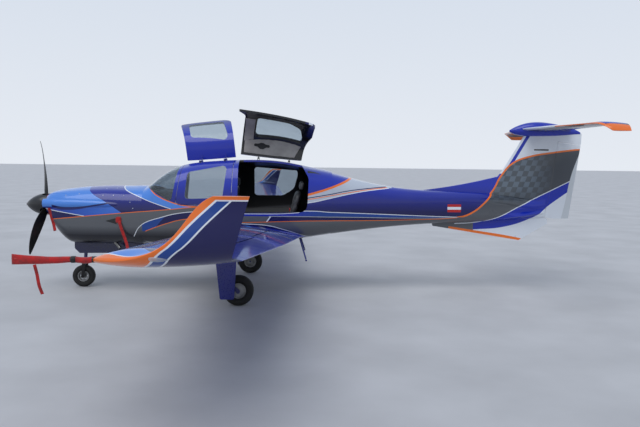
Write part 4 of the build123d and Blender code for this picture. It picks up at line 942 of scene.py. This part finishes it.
def back_warp(x, y, z):
    waist = 1.0 - 0.16 * max(z / 0.28, 0.0) ** 2
    wrap = 0.022 * (abs(y) / 0.2) ** 3 if x < 0 else 0.0
    return at(3.378 + 0.2 * z + x - wrap, y * waist - SEAT_Y, 1.395 + z)


def headrest_warp(x, y, z):
    return at(3.442 + x - 0.15 * y * y, y - SEAT_Y, 1.756 + z)


cushion = pad("seat_cushion_port", pillow((0.235, 0.188, 0.055), cushion_warp),
              SIDE_SEAMS + [(AFT, 3.02 - NOSE_X)], hide)
back = pad("seat_back_port", pillow((0.038, 0.188, 0.268), back_warp),
           SIDE_SEAMS + [(UP, 1.30), (UP, 1.50)], hide, cap=0.010)
headrest = pad("headrest_port", pillow((0.030, 0.112, 0.066), headrest_warp), [], hide,
               cap=0.008)


def posts(y):
    pair = bmesh.new()
    for side in (-0.06, 0.06):
        mesh = tube([at(3.42, y + side, 1.60), at(3.434, y + side, 1.66),
                     at(3.441, y + side, 1.72)], [0.006] * 3, 10)
        pair.from_mesh(mesh)
    return to_mesh(pair)


def base_warp(x, y, z):
    return at(3.08 + x, y - SEAT_Y, 0.99 + z)


base = place("seat_base_port", pillow((0.195, 0.17, 0.034), base_warp, 9.0, 9), moulded)
for side, sign in (("port", -1), ("starboard", 1)):
    place(f"headrest_posts_{side}", posts(sign * SEAT_Y), steel)
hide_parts("front_seat_port")
across_cabin = Vector((0, 2 * SEAT_Y, 0))
for source, stem, fill in ((cushion, "seat_cushion", 0.7), (back, "seat_back", 0.7),
                           (headrest, "headrest", 0.75)):
    copy = smooth(twin(source, f"{stem}_starboard", across_cabin))
    if stem == "seat_back":
        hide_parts("front_seat_starboard")
twin(base, "seat_base_starboard", across_cabin)

# Rear bench: three places, with sewn channels between them
BENCH_SEAMS = [(STARBOARD, -0.15), (STARBOARD, 0.15)]


def bench_warp(x, y, z):
    return at(4.035 + x, y, 1.088 - 0.07 * x + z)


def bench_back_warp(x, y, z):
    return at(4.405 + 0.27 * z + x, y, 1.405 + z)


def rear_headrest_warp(side):
    return lambda x, y, z: at(4.508 + x + 0.2 * z, y + side, 1.715 + z)


pad("bench_cushion", pillow((0.20, 0.428, 0.062), bench_warp),
    BENCH_SEAMS + [(AFT, 4.03 - NOSE_X)], bench_hide, voxel=0.015)
bench_back = pad("bench_back", pillow((0.050, 0.428, 0.215), bench_back_warp),
                 BENCH_SEAMS + [(UP, 1.40)], bench_hide, voxel=0.015)
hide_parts("rear_bench")
for number, y in enumerate((-0.30, 0.0, 0.30)):
    rest = pillow((0.032, 0.10, 0.062), rear_headrest_warp(y))
    pad(f"rear_headrest_{number}", rest, [], bench_hide, cap=0.006)


def bench_base_warp(x, y, z):
    return at(4.10 + x - 0.2 * z, y, 0.99 + z)


place("bench_base", pillow((0.27, 0.42, 0.034), bench_base_warp, 9.0, 9), moulded)


def shape_of(made):
    """A tree of a piece's surface, for rays and for what lies on it."""
    return BVHTree.FromObject(made, bpy.context.evaluated_depsgraph_get())


def meet(tree, origin, way, otherwise, reach=1.2):
    """Where a ray meets a surface, or a given point if it misses."""
    point, *_ = tree.ray_cast(origin, way, reach)
    return point if point else otherwise


def give_thickness(made, thickness=0.001, offset=0.0):
    thick = made.modifiers.new("thickness", "SOLIDIFY")
    thick.thickness = thickness
    thick.offset = offset


def belt(name, surface, y, low, high, start_x):
    """A strap that lies on a seat's front, between two heights."""
    rings = []
    for i in range(25):
        z = low + (high - low) * i / 24
        starts = [at(start_x, y + 0.045 * (j / 4 - 0.5), z) for j in range(5)]
        rings.append([meet(surface, p, AFT, p + AFT * 0.9, 1.5) - AFT * 0.004 for p in starts])
    made = place(name, skin(rings, closed=False, caps=False), belt_web)
    give_thickness(made, 0.003, -1.0)


back_surface = shape_of(bench_back)
for number, y in enumerate((-0.36, -0.24, 0.24, 0.36)):
    belt(f"bench_belt_{number}", back_surface, y, 1.24, 1.58, 3.6)
belt("front_belt_port", shape_of(back), -SEAT_Y + 0.10, 1.20, 1.58, 2.6)
button = meet(back_surface, at(3.6, -0.30, 1.33), AFT, at(4.33, -0.30, 1.33), 1.5)
button_block = pillow((0.010, 0.022, 0.028),
                      lambda a, b, c: button + Vector((a - 0.012, b, c)), 4.0, 5)
place("belt_button", button_block, buckle_red)

# Cloth sleeve over the wing-tip boom, tied by a strap, with a ribbon under it
BOOM_Y, BOOM_Z = -6.38, 1.435


def sleeve(start, end, height, depth, gather):
    """A flattened cloth tube round the boom, from a sewn front end to a gathered back end."""
    rings = []
    for i in range(37):
        t = i / 36
        x = start + (end - start) * t
        up = height[0] + (height[1] - height[0]) * t ** 0.8
        wide = depth[0] + (depth[1] - depth[0]) * min(t * 5, 1.0)
        droop = -0.006 * sin(pi * t)
        ring = []
        for k in range(48):
            a = tau * k / 48
            ripple = 0.02 * sin(3 * a + 9 * t) + 0.015 * sin(2 * a - 17 * t)
            fold = 1 + gather * sin(7 * a + 3 * t) * t ** 3 + ripple
            ring.append(at(x, BOOM_Y + cos(a) * wide * fold, BOOM_Z + droop + sin(a) * up * fold))
        rings.append(ring)
    return skin(rings, caps=False)


for name, start, end, height, depth, gather, flat, most in (
    ("tip_sleeve", 2.440, 2.838, (0.036, 0.019), (0.004, 0.018), 0.07, (0.165, 0.40), 0.066),
    ("tip_cuff", 2.870, 2.982, (0.0205, 0.0215), (0.019, 0.021), 0.02, (0.135, 0.113), 0.01525),
):
    mesh = sleeve(start, end, height, depth, gather)
    made = place(name, mesh, red_cloth)
    give_thickness(made)
    if name == "tip_sleeve":
        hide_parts("boom_cover")
strap_at = [at(x, BOOM_Y, BOOM_Z) for x in (2.836, 2.838, 2.842, 2.866, 2.870, 2.872)]
place("tip_strap", tube(strap_at, [0.0190, 0.0225, 0.0235, 0.0235, 0.0225, 0.0190], 32), belt_web)
buckle = pillow((0.012, 0.005, 0.015),
                lambda a, b, c: at(2.854 + a, BOOM_Y - 0.025 + b, BOOM_Z - 0.004 + c), 7.0, 5)
place("tip_buckle", buckle, moulded)


def hung(name, top, bottom, width, across, sway):
    mesh, length = strip(top, bottom, width, across.normalized(), sway)
    made = place(name, mesh, red_cloth)
    give_thickness(made)


hung("tip_ribbon", at(2.595, BOOM_Y - 0.012, 1.400), at(2.640, BOOM_Y - 0.012, 1.195), 0.022,
     Vector((1, 0.1, 0.2)), Vector((0.002, 0.006, 0)))

# Red plugs in the cowling's openings, with a strap down from each
for side, sign in (("port", -1), ("starboard", 1)):
    out = Vector((0, sign, 0))
    for stem, station, high, half, edge, low, where in (
        ("intake", 0.500, 1.315, (0.022, 0.030, 0.030), 0.30, (0.590, 0.965), 0.36),
        ("duct", 1.635, 1.165, (0.045, 0.030, 0.050), 0.52, (1.790, 0.720), 0.60),
    ):
        shell = shape_of(nodes["cowling_upper" if stem == "intake" else "cowling_lower"])
        foot = meet(shell, at(station, sign * 1.2, high), -out, at(station, sign * edge, high))
        plug = pillow(half, lambda a, b, c: foot + Vector((a, b * 0.7, c)), 4.0, 9)
        place(f"{stem}_plug_{side}", plug, red_cloth)
        top = foot + out * 0.020 + Vector((0.01, 0, -0.02))
        bottom = at(low[0], sign * max(where, abs(foot.y) + 0.02), low[1])
        hung(f"{stem}_strap_{side}", top, bottom, 0.048, Vector((1, 0, 0.3)), out * 0.010)

# Fasteners along the cowling's edges
FASTENERS = [
    (0.774, 1.536), (0.991, 1.561), (1.395, 1.644), (1.551, 1.652), (1.691, 1.663), (1.378, 1.545),
    (1.543, 1.546), (1.705, 1.545), (1.813, 1.443), (1.859, 1.349),
]
cowl = shape_of(nodes["cowling_upper"])
studs = bmesh.new()
for station, z in FASTENERS:
    for sign in (-1, 1):
        point, normal, *_ = cowl.ray_cast(at(station, sign * 1.2, z), Vector((0, -sign, 0)), 1.2)
        if point:
            if normal.y * sign < 0:
                normal = -normal
            heights = [point + normal * h for h in (-0.003, 0.0012, 0.0022)]
            studs.from_mesh(tube(heights, [0.008, 0.008, 0.005], 12))
place("cowl_fasteners", to_mesh(studs), plain("stud_white", (0.80, 0.82, 0.86), 0.35, coat=0.5))

# Position lights at the winglets' feet: a clear fairing with a tinted lamp inside its front
lens = glass("lamp_lens", (0.92, 0.94, 0.95), (0.86, 0.88, 0.90), 0.42)
LAMP_SHAPE = [
    (0.0, 0.05), (0.03, 0.42), (0.10, 0.72), (0.25, 0.96), (0.42, 1.0), (0.62, 0.86), (0.82, 0.52),
    (0.94, 0.22), (1.0, 0.05),
]
for side, sign, tint in (("port", -1, (0.80, 0.06, 0.05)), ("starboard", 1, (0.05, 0.55, 0.22))):
    shell = shape_of(nodes[f"winglet_{side}"])
    outside, inside = at(3.49, sign * 7.2, 1.480), at(3.49, sign * 6.62, 1.480)
    spot = meet(shell, outside, Vector((0, -sign, 0)), inside)
    start, run = spot - Vector((0.075, sign * 0.004, 0)), Vector((0.150, 0, 0.002))
    body = tube([start + run * t for t, _ in LAMP_SHAPE], [0.021 * r for _, r in LAMP_SHAPE], 24,
                0.62)
    place(f"tip_lamp_{side}", body, lens)
    inner = tube([start + run * t for t in (0.12, 0.16, 0.34, 0.40)], [0.004, 0.010, 0.011, 0.004],
                 16, 0.55)
    place(f"tip_bulb_{side}", inner, plain(f"bulb_{side}", tint, 0.3, coat=1.0))

# Door linings: moulded panels between the hinge side and each window
# The lining's pale grey is lighter than the lining's own colour: painted light that makes up for
# the shade on the doors' inner faces
lining = plain("door_lining", (0.64, 0.62, 0.60), 0.75, grain=260, bump=0.35, spread=0.12)
recess = plain("lining_recess", (0.05, 0.05, 0.052), 0.6, grain=200)
CENTRE_Z = 1.45


def turn_about(centre, axis, angle):
    turned = Matrix.Translation(centre) @ Matrix.Rotation(angle, 4, axis)
    return turned @ Matrix.Translation(-centre)


def line_up(door, pieces):
    """Turn pieces that were made on the shut door to where the door stands."""
    centre, axis, shut = door_hinge(door)
    turn = turn_about(centre, axis, -shut)
    for made in pieces:
        made.data.transform(turn)


class Lining:
    """Points on the inner face of a shut door, by station and by height or side."""

    def __init__(self, door, sign):
        centre, axis, shut = door_hinge(door)
        turn = turn_about(centre, axis, shut)
        mesh = nodes[f"door_{door}"].data
        self.sign = sign
        self.tree = BVHTree.FromPolygons([turn @ v.co for v in mesh.vertices],
                                         [tuple(f.vertices) for f in mesh.polygons])

    def hit(self, station, angle, inset):
        way = Vector((0, self.sign * sin(angle), cos(angle)))
        point, *_ = self.tree.ray_cast(at(station, 0, CENTRE_Z), way, 1.5)
        return point - way * inset if point else None

    def angle_at(self, station, test):
        """The first angle from straight up at which the inner face passes a test."""
        for step in range(160):
            point = self.hit(station, radians(8 + step * 0.6), 0.0)
            if point and test(point):
                return radians(8 + step * 0.6)
        return radians(100)

    def patch(self, near, far, front, back, inset=0.005, rows=14, columns=24):
        """A panel from near to far, each a test of a point, between two lines of stations."""
        rings = []
        for i in range(rows + 1):
            v = i / rows
            ring = []
            for j in range(columns + 1):
                u = j / columns
                ends = (front[0] + (front[1] - front[0]) * v, back[0] + (back[1] - back[0]) * v)
                station = ends[0] * (1 - u) + ends[1] * u
                top, low = self.angle_at(station, near), self.angle_at(station, far)
                point = self.hit(station, top + (low - top) * v, inset)
                ring.append(point if point else ring[-1] if ring else rings[-1][0])
            rings.append(ring)
        return skin(rings, closed=False, caps=False)


# Grip's outline, in halves of its length and height
GRIP_OUTLINE = [
    (-1, 0.05), (-0.93, -0.35), (-0.55, -0.42), (-0.2, -1), (0.2, -1), (0.55, -0.42), (0.93, -0.35),
    (1, 0.05), (0.9, 0.42), (0.45, 0.5), (0.15, 0.85), (-0.15, 0.85), (-0.45, 0.5), (-0.9, 0.42),
]
# front and back stations, each at the hinge and at the window, the window's upper edge as a
# height, a slope and a station, then the stations and foot of a post in front of the window
FRONT_LINING = ((2.680, 2.650), (3.392, 3.385), (1.950, 0.1935, 2.705), None, 0)
LININGS = [
    ("rear_port", -1, (3.550, 3.545), (4.370, 4.455), (2.035, -0.0743, 3.700), (3.530, 3.680),
     1.58),
    ("front_port", -1, *FRONT_LINING),
    ("front_starboard", 1, *FRONT_LINING),
]
for door, sign, front, back_line, (top_z, slope, top_at), post, post_low in LININGS:
    inner_face = Lining(door, sign)
    near = lambda p: abs(p.y) > 0.170
    far = lambda p: p.z < top_z + slope * (p.x + NOSE_X - top_at)
    pieces = [place(f"lining_{door}", inner_face.patch(near, far, front, back_line), lining,
                    body=f"door_{door}")]
    if post:
        low_end = lambda p: p.z < post_low
        fore_edge, aft_edge = ((p, p - 0.01) for p in post)
        edge = inner_face.patch(far, low_end, fore_edge, aft_edge, columns=6)
        pieces.append(place(f"lining_post_{door}", edge, lining, body=f"door_{door}"))
    for made in pieces:
        give_thickness(made, 0.006)
        round_off = made.modifiers.new("edge", "BEVEL")
        round_off.width = 0.0018
        round_off.segments = 2
    # A grip let into the lining
    middle = front[0] + (back_line[0] - front[0]) * 0.34
    length = 0.13 if post else 0.10
    start_angle = inner_face.angle_at(middle, near)
    end_angle = inner_face.angle_at(middle, far)
    mid_angle = start_angle + (end_angle - start_angle) * 0.58
    tall = (end_angle - start_angle) * 0.22
    rings = []
    for share, inset in ((1.0, 0.004), (1.0, 0.0105), (0.9, 0.0115), (0.8, 0.0095), (0.4, 0.0090)):
        places = [(middle + a * length * share, mid_angle + b * tall * share)
                  for a, b in GRIP_OUTLINE]
        rings.append([inner_face.hit(station, angle, inset) for station, angle in places])
    pieces.append(place(f"grip_{door}", skin(rings), recess, body=f"door_{door}"))
    line_up(door, pieces)


# Camera
CAMERA = Vector((-0.281, -10.857, 2.127))
YAW, PITCH, ROLL = 0.0452, 0.0807, 0.0123
LENS = 36.59


def place_camera():
    """The photograph's place and direction of view."""
    ahead = Vector((sin(YAW) * cos(PITCH), cos(YAW) * cos(PITCH), -sin(PITCH)))
    level = Vector((cos(YAW), -sin(YAW), 0))
    rise = level.cross(ahead)
    right = level * cos(ROLL) + rise * sin(ROLL)
    up = rise * cos(ROLL) - level * sin(ROLL)
    data = bpy.data.cameras.new("camera")
    data.lens = LENS
    data.sensor_width = 36.0
    camera = bpy.data.objects.new("camera", data)
    bpy.context.scene.collection.objects.link(camera)
    columns = (right, up, -ahead)
    camera.matrix_world = Matrix(
        [[column[i] for column in columns] + [CAMERA[i]] for i in range(3)] + [[0, 0, 0, 1]]
    )
    bpy.context.scene.camera = camera


@finish
def pale_floor(net, here):
    tone = net.mix(net.scale(net.noise(here, 0.8, 6.0), 0.3, 0.7), (0.70, 0.70, 0.71),
                   (0.76, 0.76, 0.77))
    return bsdf(net, Base_Color=tone, Roughness=0.7)


def light_stage():
    """A plain pale floor, a pale sky that lights evenly and one soft lamp overhead."""
    bpy.ops.mesh.primitive_plane_add(size=400)
    floor = bpy.context.object
    floor.name = "floor"
    floor.data.materials.append(pale_floor("floor_pale"))
    floor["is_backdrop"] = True
    world = bpy.data.worlds.new("world")
    bpy.context.scene.world = world
    world.use_nodes = True
    world.node_tree.nodes.clear()
    net = Net(world.node_tree)
    here = net.node("TexCoord").outputs["Generated"]
    height = net.axes(here)[2]
    sky = net.mix(net.scale(height, 0.0, 0.5), (0.90, 0.92, 0.95), (0.78, 0.83, 0.90))
    soft = net.node("Background", {0: sky, 1: 0.75})
    seen = net.node("Background", {0: sky, 1: 1.0})
    path = net.node("LightPath")
    rays = net.either(path.outputs["Is Camera Ray"], path.outputs["Is Glossy Ray"])
    rays = net.either(rays, path.outputs["Is Transmission Ray"])
    mixed = net.node("MixShader", {0: rays, 1: soft.outputs[0], 2: seen.outputs[0]})
    output = net.node("OutputWorld")
    net.put(output.inputs["Surface"], mixed.outputs[0])
    data = bpy.data.lights.new("key", "SUN")
    data.energy = 1.4
    data.angle = radians(50)
    lamp = bpy.data.objects.new("key", data)
    lamp.rotation_euler = (radians(28), radians(-14), 0)
    bpy.context.scene.collection.objects.link(lamp)


place_camera()
light_stage()
bpy.context.scene.view_settings.view_transform = "Standard"

low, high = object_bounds()
